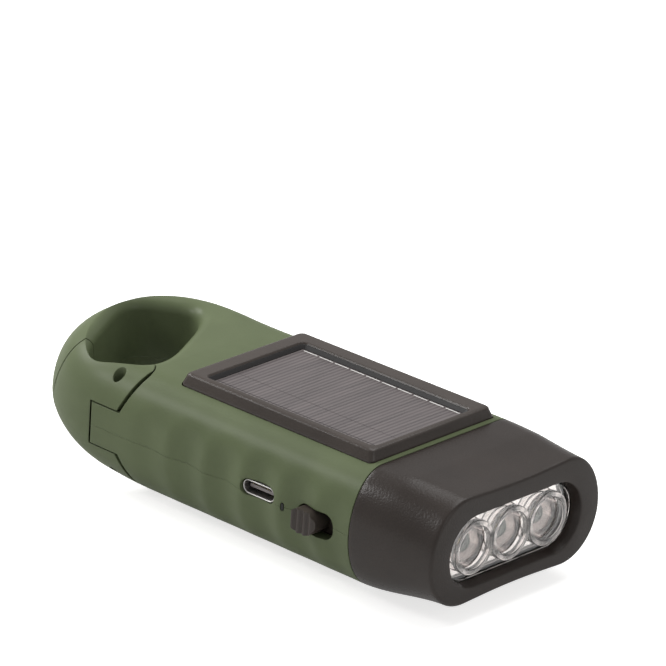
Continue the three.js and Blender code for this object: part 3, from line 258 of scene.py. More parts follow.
# USB socket in the near side, with [growth, y] of its shell's outlines
NEAR_CUT = 4.5
USB_X = 13.4
USB_Z = SEAM + 1
USB_WIDTH = 8.94
USB_HEIGHT = 3.16
USB_OPENING = (9.44, 3.56)
USB_FRONT = -25.7
USB_BACK = USB_FRONT + 7.35
USB_OUTSIDE = [(0, USB_BACK), (0, USB_FRONT + 0.1), (-0.08, USB_FRONT)]
USB_INSIDE = [(-0.3, USB_BACK - 1.1), (-0.3, USB_FRONT + 0.12), (-0.2, USB_FRONT),
              (-0.2, USB_FRONT - 1)]
INSERT_X = (USB_X - 3.35, USB_X + 3.35)
INSERT_Y = (USB_FRONT + 1.1, USB_BACK - 1.2)
INSERT_HALF = 0.35
CONTACTS = 12
CONTACT_PITCH = 0.5
CONTACT_HALF = 0.16
CONTACT_HEIGHT = 0.04
CONTACT_Y = (USB_FRONT + 1.25, USB_BACK - 1.6)

# Switch and indicator in the near side
SWITCH_X = 27.65
SWITCH_Z = SEAM - 0.45
KNOB_WIDTH = 6.7
KNOB_HEIGHT = 5.2
KNOB_PROUD = 1.6
KNOB_TRAVEL = 3.3
KNOB_CORNER = 2.4
KNOB_CLEAR = 0.3
KNOB_SHOULDER = 0.9
KNOB_STEPS = 60
KNOB_CUT = 6
KNOB_END_DROP = 0.35
RIBS = 4
RIB_DEPTH = 0.42
RIB_POWER = 1.4
SLIDE_Y = -22.9
SLIDE_THICKNESS = 1.1
SLIDE_MARGIN = 1.3
INDICATOR_X = 20.5
INDICATOR_OPENING = (1.8, 0.9)

# Crank hub and arm
HUB = (8, 0)
HUB_RADIUS = 17.5
HUB_SIDES = 160
HINGE_X = 22.2
HINGE_Z = 1.5
HINGE_BORE = 0.85
HINGE_HALF = 5.8
BARREL = 1.5
EARS = ((-6.3, -3), (3, 6.3))
EAR_X = (HINGE_X - 0.75, HINGE_X + 1.8)
ARM_WIDTH = 11
ARM_TOP = 4.65
ARM_EDGE = [(0, 0.35), (0.1, 0.14), (0.35, 0)]
ARM_END_X = HINGE_X - 29.7
ARM_KNUCKLE = 2.7
ARM_NECK = 3
LIP_TURN = (120, 240)
LIP_DROP = 1.5
LIP_LENGTH = 2.5

# Grip of the crank and the rivet that it turns on
GRIP_X = -1.9
GRIP_RADIUS = 4.2
GRIP_SWING = 1.6
GRIP_ROOM = 7.1
RIVET_HOLE = 1.35
RIVET_CUT = (-1, 10)
RIVET_ROOM = 2.6
RIVET_DEPTH = 1.3
RIVET = [(0, 1.95), (2.3, 1.95), (2.3, 2.65), (1.3, 2.65), (1.3, 9.95), (2.3, 9.95),
         (2.3, 10.45), (2.1, 10.65), (0, 10.65)]


# Camera at the photograph's viewing angle: its turn, rise and roll, and where its aim lies
# to the right of and above the middle of the view
CAMERA_TURN = math.radians(41.384)
CAMERA_RISE = math.radians(22.09)
CAMERA_ROLL = math.radians(-3.5)
CAMERA_AIM = (11, SHIFT_Y, 31.05)
AIM_RIGHT = 1.329
AIM_UP = -11.598
FOCAL_PX = 6473
FRAME_PX = 666
PX_PER_MM = 4.85
SENSOR = 36


def new_object(name, data):
    made = bpy.data.objects.new(name, data)
    bpy.context.scene.collection.objects.link(made)
    return made


def make_camera():
    level = math.cos(CAMERA_RISE)
    forward = Vector((-math.sin(CAMERA_TURN) * level, math.cos(CAMERA_TURN) * level,
                      -math.sin(CAMERA_RISE)))
    right = Vector((math.cos(CAMERA_TURN), math.sin(CAMERA_TURN), 0))
    up = right.cross(forward)
    side = math.cos(CAMERA_ROLL) * right - math.sin(CAMERA_ROLL) * up
    top = math.sin(CAMERA_ROLL) * right + math.cos(CAMERA_ROLL) * up
    away = AIM_RIGHT * side + AIM_UP * top + FOCAL_PX / PX_PER_MM * forward
    place = Vector(CAMERA_AIM) - away
    data = bpy.data.cameras.new("camera")
    data.sensor_width = SENSOR
    data.lens = FOCAL_PX / FRAME_PX * SENSOR
    data.clip_start, data.clip_end = 0.01, 20
    camera = new_object("camera", data)
    turn = Matrix((side, top, -forward)).transposed().to_4x4()
    camera.matrix_world = Matrix.Translation(place * MM) @ turn
    bpy.context.scene.camera = camera


# Mesh tools
def solid(points, faces, name="solid"):
    mesh = bpy.data.meshes.new(name)
    mesh.from_pydata([(x * MM, (y + SHIFT_Y) * MM, z * MM) for x, y, z in points], [], faces)
    mesh.update()
    return new_object(name, mesh)


# Closed form through rings of points, whose ends are single faces or strips of them
def stack(rings, strips=False):
    count = len(rings[0])
    points = [point for ring in rings for point in ring]
    faces = []
    for level in range(len(rings) - 1):
        low, high = level * count, (level + 1) * count
        for i in range(count):
            j = (i + 1) % count
            faces.append((low + i, low + j, high + j, high + i))
    last = (len(rings) - 1) * count
    if strips:
        for i in range(count // 2):
            j = count - 1 - i
            corners = (i, i + 1, j - 1, j) if i + 1 < j - 1 else (i, i + 1, j)
            faces.append(tuple(reversed(corners)))
            faces.append(tuple(last + c for c in corners))
    else:
        faces.append(tuple(reversed(range(count))))
        faces.append(tuple(range(last, last + count)))
    return solid(points, faces)


def arc(x, y, radius, start, end, steps):
    angles = [math.radians(start + (end - start) * i / steps) for i in range(steps + 1)]
    return [(x + radius * math.cos(a), y + radius * math.sin(a)) for a in angles]


def rounded(x0, x1, y0, y1, r, steps=8):
    return (arc(x1 - r, y0 + r, r, -90, 0, steps) + arc(x1 - r, y1 - r, r, 0, 90, steps)
            + arc(x0 + r, y1 - r, r, 90, 180, steps) + arc(x0 + r, y0 + r, r, 180, 270, steps))


def stadium(width, height, steps=16):
    r = height / 2
    m = width / 2 - r
    return arc(m, 0, r, -90, 90, steps) + arc(-m, 0, r, 90, 270, steps)


def area(outline):
    pairs = zip(outline, outline[1:] + outline[:1])
    return sum(a[0] * b[1] - b[0] * a[1] for a, b in pairs)


def anticlockwise(outline):
    return outline if area(outline) > 0 else outline[::-1]


# Form through outlines in x and y, given as [outline, height]
def tower(steps):
    return stack([[(x, y, z) for x, y in outline] for outline, z in steps])


def prism(outline, low, high):
    points = anticlockwise(outline)
    return tower([(points, low), (points, high)])


# Prism whose outline is in x and z and whose depth runs from y0 to y1
def side_prism(outline, y0, y1):
    points = anticlockwise(outline)
    return stack([[(x, y, z) for x, z in points] for y in (y1, y0)])


# Prism whose outline is in y and z and whose depth runs from x0 to x1
def front_prism(outline, x0, x1):
    points = anticlockwise(outline)
    return stack([[(x, y, z) for y, z in points] for x in (x0, x1)])


def block(x0, x1, y0, y1, z0, z1):
    return prism([(x0, y0), (x1, y0), (x1, y1), (x0, y1)], z0, z1)


# Form turned about an axis through x, y and z, from a closed loop of [radius, height] points
def lathe(profile, x, y, z=0, sides=64, axis="z"):
    loop = anticlockwise(profile)
    points, faces, rows = [], [], []
    for r, h in loop:
        if r < 1e-6:
            rows.append([len(points)] * sides)
            points.append((0, 0, h))
        else:
            rows.append(list(range(len(points), len(points) + sides)))
            turns = [2 * math.pi * k / sides for k in range(sides)]
            points.extend((r * math.cos(t), r * math.sin(t), h) for t in turns)
    for a, b in zip(rows, rows[1:] + rows[:1]):
        for k in range(sides):
            n = (k + 1) % sides
            corners = list(dict.fromkeys((a[k], a[n], b[n], b[k])))
            if len(corners) > 2:
                faces.append(corners)
    if axis == "x":
        points = [(h, a, b) for a, b, h in points]
    elif axis == "y":
        points = [(b, h, a) for a, b, h in points]
    return solid([(a + x, b + y, c + z) for a, b, c in points], faces)


def rod(radius, low, high, x, y, sides=64):
    return lathe([(0, low), (radius, low), (radius, high), (0, high)], x, y, sides=sides)


def rod_y(radius, y0, y1, x, z, sides=48):
    return lathe([(0, y0), (radius, y0), (radius, y1), (0, y1)], x, 0, z, sides, "y")


def combine(shape, other, operation):
    modifier = shape.modifiers.new("cut", "BOOLEAN")
    modifier.operation = operation
    modifier.solver = "MANIFOLD"
    modifier.object = other
    depsgraph = bpy.context.evaluated_depsgraph_get()
    mesh = bpy.data.meshes.new_from_object(shape.evaluated_get(depsgraph))
    shape.modifiers.clear()
    spent = [shape.data, other.data]
    shape.data = mesh
    bpy.data.objects.remove(other)
    for old in spent:
        if old.users == 0:
            bpy.data.meshes.remove(old)
    return shape


def cut(shape, *others):
    for other in others:
        combine(shape, other, "DIFFERENCE")
    return shape


def add(shape, *others):
    for other in others:
        combine(shape, other, "UNION")
    return shape


def meet(shape, *others):
    for other in others:
        combine(shape, other, "INTERSECT")
    return shape


MERGE = 2e-7
SHORTEST_EDGE = 1e-7
SMOOTH_LIMIT = 32
FRAME_LIMIT = 28
FINE_LIMIT = 25


# Cleans a mesh and shades it smooth, with hard edges where the faces turn sharply
def shade(piece, limit):
    work = bmesh.new()
    work.from_mesh(piece.data)
    bmesh.ops.remove_doubles(work, verts=work.verts, dist=MERGE)
    bmesh.ops.dissolve_degenerate(work, edges=work.edges, dist=SHORTEST_EDGE)
    for face in work.faces:
        face.smooth = True
    for edge in work.edges:
        turn = edge.calc_face_angle(None) if len(edge.link_faces) == 2 else math.pi
        edge.smooth = turn < math.radians(limit)
    work.to_mesh(piece.data)
    work.free()


def quarter_turns(steps):
    return [math.pi / 2 * i / steps for i in range(steps + 1)]


def smoothstep(value, low, high):
    share = min(max((value - low) / (high - low), 0), 1)
    return share * share * (3 - 2 * share)


# Housing form
def side_reach(x):
    return HALF_WIDTH - TAIL_NARROWING * (BEZEL_X - x) / (BEZEL_X - TAIL_X - FAR_TAIL_LENGTH)


def edge_inset(z, across=EDGE):
    reach = TOPSIDE - SEAM if z > SEAM else SEAM - UNDERSIDE
    share = min(abs(z - SEAM) / reach, 1)
    return across * (1 - math.sqrt(1 - share * share))


def tail_edge(x, y):
    tailward = smoothstep(CAVITY_X - x, 0, CAVITY_X - TAIL_X)
    farward = smoothstep(y, -HALF_WIDTH / 2, HALF_WIDTH / 2)
    tightest = NEAR_TAIL_EDGE + (FAR_TAIL_EDGE - NEAR_TAIL_EDGE) * farward
    return EDGE + (tightest - EDGE) * tailward


def tail_rise(x, z):
    along = max((TAIL_X + TAIL_LIFT_LENGTH - x) / TAIL_LIFT_LENGTH, 0)
    return TAIL_LIFT * along * along * max((SEAM - z) / (SEAM - UNDERSIDE), 0)


def scallop(x, z):
    steps = (x - FIRST_CUSP_X) / PITCH
    cell = math.floor(steps)
    if cell < -1 or cell >= CUSPS:
        return 0
    along = steps - cell
    if cell == CUSPS - 1:
        start = FIRST_CUSP_X + cell * PITCH
        along = min((x - start) / (BEZEL_X - start), 1)
    hollow = math.sin(math.pi * along) ** SCALLOP_POWER
    fade = (smoothstep(TOPSIDE - SCALLOP_FADE_TOP - z, 0, SCALLOP_FADE)
            * smoothstep(z - UNDERSIDE, 0, SCALLOP_FOOT))
    end = SCALLOP_END_SHARE if cell in (-1, CUSPS - 1) else 1
    return SCALLOP_DEPTH * hollow * fade * end


# Places along a side from the bezel to the tail, close together over the scallops
def stations():
    last = FIRST_CUSP_X + (CUSPS - 1) * PITCH
    xs = [BEZEL_X + (last - BEZEL_X) * i / STATION_STEPS for i in range(STATION_STEPS)]
    xs += [FIRST_CUSP_X + (CUSPS - 1 - i / STATION_STEPS) * PITCH
           for i in range(STATION_STEPS * CUSPS + 1)]
    return xs + [FIRST_CUSP_X - PITCH - step for step in TAIL_STATIONS]


def housing_ring(z, inset=0):
    def drawn_in(x, y):
        return inset + (edge_inset(z, tail_edge(x, y)) if z > SEAM else edge_inset(z))

    far = [(x, side_reach(x) - drawn_in(x, HALF_WIDTH) - scallop(x, z)) for x in stations()]
    near = [(x, -side_reach(x) + drawn_in(x, -HALF_WIDTH) + scallop(x, z)) for x in stations()]

    def tail(side, length, share):
        points = []
        start = side_reach(TAIL_X + length)
        for i in range(TAIL_STEPS):
            angle = math.pi / 2 * i / TAIL_STEPS
            back = length * math.sin(angle) ** share
            out = side * start * math.cos(angle) ** share
            less = drawn_in(TAIL_X + length - back, out)
            points.append((TAIL_X + length - back * (1 - less / length), out * (1 - less / start)))
        return points

    tip = [(TAIL_X + drawn_in(TAIL_X, 0), 0)]
    ring = (far + tail(1, FAR_TAIL_LENGTH, FAR_TAIL_SHARE) + tip
            + tail(-1, NEAR_TAIL_LENGTH, NEAR_TAIL_SHARE)[::-1] + near[::-1])
    return [(x, y, z + tail_rise(x, z)) for x, y in ring]


def levels(start, end):
    return [start + (end - start) * math.sin(turn) for turn in quarter_turns(EDGE_STEPS)]


def housing(inset=0):
    heights = levels(SEAM, UNDERSIDE)[:0:-1] + levels(SEAM, TOPSIDE)
    return stack([housing_ring(z, inset) for z in heights], strips=True)


# Half of the housing, with a fine groove where the halves meet
def housing_half(end):
    groove = SEAM_GROOVE if end > SEAM else -SEAM_GROOVE
    rings = [housing_ring(SEAM, SEAM_GROOVE)]
    rings[0] = [(x, y, SEAM) for x, y, _ in rings[0]]
    rings += [housing_ring(z) for z in [SEAM + groove] + levels(SEAM, end)[2:]]
    return stack(rings if end > SEAM else rings[::-1], strips=True)


# Room inside the housing, and the way from it into the bezel
def cavity():
    front_x, corner_x = BEZEL_X - BEZEL_WALL, CAVITY_X + CAVITY_CORNER
    rings = []
    for i in range(CAVITY_LEVELS + 1):
        z = FLOOR + (CEILING - FLOOR) * i / CAVITY_LEVELS
        front = side_reach(front_x) - edge_inset(z) - SIDE_WALL
        back = side_reach(corner_x) - edge_inset(z) - SIDE_WALL - CAVITY_CORNER
        outline = ([(front_x, -front), (front_x, front)]
                   + arc(corner_x, back, CAVITY_CORNER, 90, 180, 10)
                   + arc(corner_x, -back, CAVITY_CORNER, 180, 270, 10))
        rings.append([(x, y, z) for x, y in outline])
    way = bezel_shape(2 * BEZEL_WALL + GAP, front_x - BEZEL_WALL, BEZEL_X + SPIGOT_LENGTH + OVER, 0)
    return add(stack(rings), way)


def squared(value):
    return math.copysign(abs(value) ** (2 / HOLE_SQUARENESS), value)


# The hole is a rounded oblong, a little wider towards one of its corners
def hole_widening(angle):
    away = (math.degrees(angle) - HOLE_CORNER[0]) / HOLE_CORNER[1]
    return 1 + HOLE_CORNER_SHARE * math.exp(-away ** 2)


def loop_hole():
    rim = [(RIM * (1 - math.cos(turn)), RIM * (1 - math.sin(turn)))
           for turn in quarter_turns(RIM_STEPS)]
    low = [(UNDERSIDE + depth, flare) for depth, flare in rim]
    high = [(TOPSIDE - depth, flare) for depth, flare in rim[::-1]]
    rings = []
    for z, flare in [(UNDERSIDE - OVER, RIM)] + low + high + [(TOPSIDE + OVER, RIM)]:
        ring = []
        for i in range(HOLE_SIDES):
            angle = 2 * math.pi * i / HOLE_SIDES
            widening = hole_widening(angle)
            along = (HOLE_LONG * widening + flare) * squared(math.cos(angle))
            across = (HOLE_SHORT * widening + flare) * squared(math.sin(angle))
            x = HOLE[0] + along * math.cos(HOLE_TURN) - across * math.sin(HOLE_TURN)
            y = HOLE[1] + along * math.sin(HOLE_TURN) + across * math.cos(HOLE_TURN)
            ring.append((x, y, z + tail_rise(x, z)))
        rings.append(ring)
    return stack(rings, strips=True)


def from_outside(z):
    return TOPSIDE - z if z > SEAM else z - UNDERSIDE


# Outline of the gate at a height, from its heel to its free end, which is a cone about the pin
def gate_plan(heel, clearance, z):
    reach = GATE_REACH + clearance + GATE_TAPER * from_outside(z)
    plan = ([(PIN[0] - reach, PIN[1] - HALF_WIDTH)] + heel + [HOLE]
            + arc(PIN[0], PIN[1], reach, TIP_TURN, 180, 20))
    return [(x, y, z) for x, y in plan]


# End of the gate's lugs, cut off flat and rounded about the pin
def lug_heel(clearance, z):
    flat = LUG_REACH - LUG_SLOPE * from_outside(z)
    radius = flat + LUG_ROUNDING + clearance
    reach = flat + (LUG_GAP if clearance else 0)
    start = math.degrees(math.acos(min(reach / radius, 1)))
    x, y = PIN[0] + reach, PIN[1] + radius * math.sin(math.radians(start))
    return [(x, PIN[1] - HALF_WIDTH), (x, y)] + arc(PIN[0], PIN[1], radius, start, HEEL_TURN, 24)


def knuckle_heel(radius):
    return [(PIN[0] - radius / 2, PIN[1] - HALF_WIDTH)] + arc(PIN[0], PIN[1], radius, 240, 120, 30)


# The gate's own form, or with a clearance the room that the shells leave for it
def gate_room(clearance):
    heel = knuckle_heel(KNUCKLE if clearance else KNUCKLE + GAP)
    shift = 0 if clearance else GAP

    def lugs(*heights):
        return stack([gate_plan(lug_heel(clearance, z), clearance, z) for z in heights])

    between = stack([gate_plan(heel, clearance, z)
                     for z in (TONGUE_BOTTOM - LUG_OVERLAP, SEAM, TONGUE_TOP + LUG_OVERLAP)])
    return add(between, lugs(TONGUE_TOP + shift, TOPSIDE + OVER),
               lugs(UNDERSIDE - OVER, TONGUE_BOTTOM - shift))


def pin_bore():
    share = 1 - (side_reach(PIN[0]) - abs(PIN[1])) / EDGE
    recess_foot = SEAM + (TOPSIDE - SEAM) * math.sqrt(1 - share * share) - RECESS_DEPTH
    bore = rod(PIN_RADIUS, UNDERSIDE - OVER, TOPSIDE + OVER, *PIN, sides=32)
    return add(bore, rod(RECESS_RADIUS, recess_foot, TOPSIDE + OVER, *PIN, sides=48))


def spring_room():
    low, high = SEAM - SPRING_HALF, SEAM + SPRING_HALF
    near, far = PIN[1] - LEG_OFFSET - LEG_HALF, PIN[1] + LEG_OFFSET + LEG_HALF
    well = rod(SPRING_RADIUS, low, high, *PIN, sides=32)
    back = block(PIN[0], PIN[0] + LEG_LENGTH, near, far, low, high)
    front = block(PIN[0] - KNUCKLE - GAP, PIN[0], near, far, low, low + LEG_HEIGHT)
    return add(well, back, front)


def near_wall_cut(outline, x, z):
    return side_prism([(x + a, z + b) for a, b in outline],
                      -HALF_WIDTH - NEAR_CUT, -HALF_WIDTH + NEAR_CUT)


def switch_slot():
    half = KNOB_HEIGHT / 2 + KNOB_CLEAR
    outline = rounded(-KNOB_WIDTH / 2 - KNOB_CLEAR, KNOB_WIDTH / 2 + KNOB_TRAVEL + KNOB_CLEAR,
                      -half, half, KNOB_CORNER + KNOB_CLEAR, 12)
    return near_wall_cut(outline, SWITCH_X, SWITCH_Z)


def frame_outline(grow):
    x0, x1 = FRAME_X - FRAME_LENGTH / 2 - grow, FRAME_X + FRAME_LENGTH / 2 + grow
    tail, lamp = FRAME_TAIL_WIDTH / 2 + grow, FRAME_LAMP_WIDTH / 2 + grow
    y, r = FRAME_Y, FRAME_CORNER
    return (arc(x1 - r, y + r - lamp, r, -90, 0, 10) + arc(x1 - r, y + lamp - r, r, 0, 90, 10)
            + arc(x0 + r, y + tail - r, r, 90, 180, 10)
            + arc(x0 + r, y + r - tail, r, 180, 270, 10))


# Bezel form: its section at x, which goes over from the housing's to that of the face
def bezel_section(x, share, inset):
    def mix(rear, front):
        return rear + (front - rear) * share

    half = mix(HALF_WIDTH, FACE_HALF) - inset
    sloped = min(max((x - CREASE_X) / (FACE_X - FACE_FILLET - CREASE_X), 0), 1)
    top = TOPSIDE - FACE_TOP * sloped - inset
    bottom = mix(UNDERSIDE, UNDERSIDE + FACE_BOTTOM) + inset
    across, waist = mix(EDGE, FACE_CORNER), mix(0, FACE_WAIST)
    flat = half - across

    def quarter(y0, height, start):
        unit = arc(0, 0, 1, start, start + 90, CORNER_STEPS)
        return [(y0 + across * a, SEAM + height * b) for a, b in unit]

    def line(z, sign):
        shares = [1 - k / FLAT_STEPS for k in range(1, 2 * FLAT_STEPS)]
        return [(sign * s * flat, z - sign * waist * (1 - s * s) ** WAIST_POWER) for s in shares]

    above, below = top - SEAM, SEAM - bottom
    ring = (quarter(flat, above, 0) + line(top, 1) + quarter(-flat, above, 90)
            + quarter(-flat, below, 180)[1:] + line(bottom, -1) + quarter(flat, below, 270)[:-1])
    return [(x, y, z) for y, z in ring]


# Form of the bezel between two places, with its rear edge and that of the face rounded
def bezel_shape(inset, start_x, end_x, fillet, rear=0):
    def section(x, less=0):
        return bezel_section(x, smoothstep(x, BEZEL_X, FACE_X), inset + less)

    rings = []
    if rear:
        for turn in quarter_turns(REAR_STEPS)[:-1]:
            less = rear * (1 - math.sin(turn))
            rings.append(section(start_x + rear * (1 - math.cos(turn)), less))
        start_x += rear
    for i in range(BEZEL_STEPS + 1):
        rings.append(section(start_x + (end_x - fillet - start_x) * i / BEZEL_STEPS))
    if fillet:
        for turn in quarter_turns(FILLET_STEPS)[1:]:
            less = fillet * (1 - math.cos(turn))
            rings.append(bezel_section(end_x - fillet * (1 - math.sin(turn)), 1, inset + less))
    return stack(rings)


# Materials: noise scales are per metre, and bump heights in metres
BROAD_SCALE = 60
PATCH_SCALE = 350
HAZE_SCALE = 900
GRAIN_HEIGHT = 0.00006
SCRATCH_HEIGHT = 0.00002
NOISE_LOW = 0.3
NOISE_HIGH = 0.7
CLEAR_IOR = 1.49
BEVEL_SAMPLES = 6


# Sets a node's sockets, named with an underscore for each space, to a value or links them
def put(made, **sockets):
    for name, value in sockets.items():
        socket = made.inputs[name.replace("_", " ")]
        if isinstance(value, bpy.types.NodeSocket):
            made.id_data.links.new(value, socket)
        else:
            socket.default_value = value
    return made


def start_material(name, rough, metallic=0, gloss=0.5):
    material = bpy.data.materials.new(name)
    material.use_nodes = True
    tree = material.node_tree
    shader = put(tree.nodes["Principled BSDF"], Roughness=rough, Metallic=metallic,
                 Specular_IOR_Level=gloss)
    return material, tree, shader, tree.nodes.new("ShaderNodeTexCoord").outputs["Object"]


def noise(tree, coords, scale, detail=2, stretch=None):
    if stretch:
        mapping = put(tree.nodes.new("ShaderNodeMapping"), Vector=coords, Scale=stretch)
        coords = mapping.outputs["Vector"]
    made = put(tree.nodes.new("ShaderNodeTexNoise"), Vector=coords, Scale=scale, Detail=detail)
    return made.outputs["Fac"]


def ramp(tree, factor, stops):
    made = put(tree.nodes.new("ShaderNodeValToRGB"), Fac=factor)
    elements = made.color_ramp.elements
    while len(elements) < len(stops):
        elements.new(0.5)
    for element, (place, colour) in zip(elements, stops):
        element.position = place
        element.color = (*colour, 1)
    return made.outputs["Color"]


def spread(tree, factor, low, high):
    made = put(tree.nodes.new("ShaderNodeMapRange"), Value=factor, From_Min=NOISE_LOW,
               From_Max=NOISE_HIGH, To_Min=low, To_Max=high)
    return made.outputs["Result"]


# Rounded look of moulded edges, with a fine grain over it
def finish_surface(tree, shader, height, strength, distance, edge):
    bump = put(tree.nodes.new("ShaderNodeBump"), Height=height, Strength=strength,
               Distance=distance)
    if edge:
        bevel = put(tree.nodes.new("ShaderNodeBevel"), Radius=edge * MM)
        bevel.samples = BEVEL_SAMPLES
        put(bump, Normal=bevel.outputs["Normal"])
    put(shader, Normal=bump.outputs["Normal"])
    if shader.inputs["Coat Weight"].default_value:
        put(shader, Coat_Normal=bump.outputs["Normal"])


# Moulded plastic: its gloss is a thin coat, and the grain is fine bumps
def moulded(name, colour, rough, grain, depth, edge=0.25, tint=0.12, gloss=0.4):
    material, tree, shader, coords = start_material(name, rough, 0, 0)
    put(shader, Coat_Weight=gloss, Coat_Roughness=rough * 0.8)
    dark = tuple(c * (1 - tint) for c in colour)
    light = tuple(min(c * (1 + tint), 1) for c in colour)
    broad = noise(tree, coords, BROAD_SCALE, 3)
    put(shader, Base_Color=ramp(tree, broad, [(0.35, dark), (0.65, light)]))
    fine = noise(tree, coords, grain)
    patches = noise(tree, coords, PATCH_SCALE)
    put(shader, Roughness=spread(tree, patches, rough - 0.04, rough + 0.05))
    finish_surface(tree, shader, fine, depth, GRAIN_HEIGHT, edge)
    return material


def metal(name, colour, rough, stretch=None, edge=0.1, grain=2500):
    material, tree, shader, coords = start_material(name, rough, 1)
    lines = noise(tree, coords, grain, 3, stretch)
    dark = tuple(c * 0.82 for c in colour)
    put(shader, Base_Color=ramp(tree, lines, [(NOISE_LOW, dark), (NOISE_HIGH, colour)]),
        Roughness=spread(tree, lines, rough * 0.8, rough * 1.3))
    finish_surface(tree, shader, lines, 0.15, SCRATCH_HEIGHT, edge)
    return material


def clear(name, rough):
    material, tree, shader, coords = start_material(name, rough)
    put(shader, Transmission_Weight=1, IOR=CLEAR_IOR)
    haze = noise(tree, coords, HAZE_SCALE)
    tone = ramp(tree, haze, [(NOISE_LOW, (0.86, 0.85, 0.84)), (NOISE_HIGH, (0.93, 0.91, 0.9))])
    put(shader, Base_Color=tone, Roughness=spread(tree, haze, rough, rough + 0.03))
    return material


# Solar cell: fine fingers across it under a soft streakiness
FINGER_PITCH = 0.0011
FINGER_STOPS = [(0.12, (0.066, 0.056, 0.057)), (0.4, (0.1, 0.087, 0.087)),
                (0.9, (0.124, 0.11, 0.108))]
STREAK_STOPS = [(0.3, (0.78, 0.76, 0.77)), (0.7, (1.12, 1.1, 1.1))]
STREAK_STRETCH = (3.2, 0.35, 1)
FINGER_HEIGHT = 0.00003
# A wave texture of scale 1 repeats 20 times in 2 pi
WAVE_REPEATS = 20
# Sockets of the Mix node for colours, which share their names with those for numbers
MIX_A, MIX_B, MIX_RESULT = 6, 7, 2


def solar_cell():
    material, tree, shader, coords = start_material("solar_cell", 0.3, 0, 0.12)
    wave = tree.nodes.new("ShaderNodeTexWave")
    wave.wave_type, wave.bands_direction, wave.wave_profile = "BANDS", "X", "SIN"
    put(wave, Vector=coords, Scale=2 * math.pi / (WAVE_REPEATS * FINGER_PITCH), Distortion=0)
    streaks = noise(tree, coords, 160, 4, STREAK_STRETCH)
    mix = tree.nodes.new("ShaderNodeMix")
    mix.data_type, mix.blend_type = "RGBA", "MULTIPLY"
    put(mix, Factor=1)
    tree.links.new(ramp(tree, wave.outputs["Fac"], FINGER_STOPS), mix.inputs[MIX_A])
    tree.links.new(ramp(tree, streaks, STREAK_STOPS), mix.inputs[MIX_B])
    put(shader, Base_Color=mix.outputs[MIX_RESULT], Roughness=spread(tree, streaks, 0.24, 0.36))
    finish_surface(tree, shader, wave.outputs["Fac"], 0.2, FINGER_HEIGHT, 0)
    return material


# Name, colour, roughness, scale of the grain and strength of its bumps
GREEN = moulded("green_plastic", (0.103, 0.125, 0.067), 0.4, 2600, 0.2, edge=0.3, tint=0.07,
                gloss=0.2)
DARK = moulded("dark_plastic", (0.027, 0.021, 0.018), 0.33, 2200, 0.8, edge=0.3, tint=0.1,
               gloss=0.36)
FRAME_DARK = moulded("frame_plastic", (0.044, 0.035, 0.03), 0.33, 2200, 0.6, edge=0.3, tint=0.1)
KNOB_DARK = moulded("switch_plastic", (0.041, 0.033, 0.028), 0.4, 2200, 0.3, edge=0.15)
# Near-black used only for the painted shade on the wall of the panel's opening
PAINTED_SHADE_BLACK = moulded("painted_shade_black", (0.012, 0.011, 0.011), 0.6, 1800, 0.3)
GREY = moulded("grey_plastic", (0.05, 0.05, 0.05), 0.55, 1500, 0.4)
WHITE = moulded("white_plastic", (0.7, 0.69, 0.64), 0.4, 1500, 0.2, tint=0.03)
CLEAR = clear("clear_plastic", 0.03)
HAZY = clear("hazy_plastic", 0.16)
SMOKE = moulded("indicator_plastic", (0.005, 0.006, 0.005), 0.35, 900, 0.1)
SOCKET_METAL = metal("socket_metal", (0.36, 0.35, 0.34), 0.42, (1, 6, 1))
SOCKET_TONGUE = moulded("socket_tongue", (0.2, 0.18, 0.18), 0.35, 900, 0.1)
CHROME = metal("reflector_chrome", (0.86, 0.83, 0.82), 0.05, edge=0, grain=600)
STEEL = metal("steel", (0.62, 0.62, 0.62), 0.3, (1, 6, 1))
BRASS = metal("brass", (0.66, 0.46, 0.2), 0.3, (1, 1, 6))
GOLD = metal("contact_gold", (0.78, 0.62, 0.32), 0.25)
COPPER = metal("copper_wire", (0.55, 0.2, 0.09), 0.35, (1, 1, 14), grain=1600)
MAGNET = metal("magnet", (0.16, 0.16, 0.17), 0.5)
SOLAR = solar_cell()
SILVER = moulded("busbar", (0.6, 0.59, 0.57), 0.5, 900, 0.1, edge=0, tint=0.05)
CELL_LINE = moulded("cell_line", (0.03, 0.026, 0.026), 0.4, 900, 0.1)
CELL_WIRE = moulded("cell_wire", (0.085, 0.075, 0.076), 0.4, 900, 0.1)
BOARD = moulded("circuit_board", (0.02, 0.12, 0.045), 0.35, 1200, 0.3)
CELL = moulded("battery_wrap", (0.04, 0.13, 0.28), 0.3, 800, 0.1)
PHOSPHOR = moulded("phosphor", (0.75, 0.6, 0.2), 0.5, 1500, 0.2)


# Names a piece, gives it its material and body, and hides the CAD nodes that it stands for
def piece(shape, name, material, slot, body="housing", stands_for=(), limit=SMOOTH_LIMIT):
    shape.name = name
    shape.data.name = name
    shade(shape, limit)
    shape.data.materials.clear()
    shape.data.materials.append(material)
    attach(shape, body)
    if stands_for:
        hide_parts(*stands_for)


make_camera()


# Housing halves
def shared_cuts():
    return [cavity(), loop_hole(), gate_room(GAP), switch_slot(),
            near_wall_cut(stadium(*USB_OPENING), USB_X, USB_Z),
            near_wall_cut([(b, a) for a, b in stadium(*INDICATOR_OPENING, 8)], INDICATOR_X, SEAM),
            prism(frame_outline(FRAME_FLARE + GAP / 2), FRAME_BOTTOM, TOPSIDE + OVER),
            spring_room(), pin_bore()]


# The part of a shell that reaches into the bezel
def spigot(low, high):
    return meet(bezel_shape(BEZEL_WALL + GAP, BEZEL_X - SPIGOT_BACK, BEZEL_X + SPIGOT_LENGTH, 0),
                block(0, 2 * BEYOND, -BEYOND, BEYOND, low, high))


def post(radius, low, high, x, y):
    return meet(rod(radius, low, high, x, y, 32), housing(SIDE_WALL / 2))


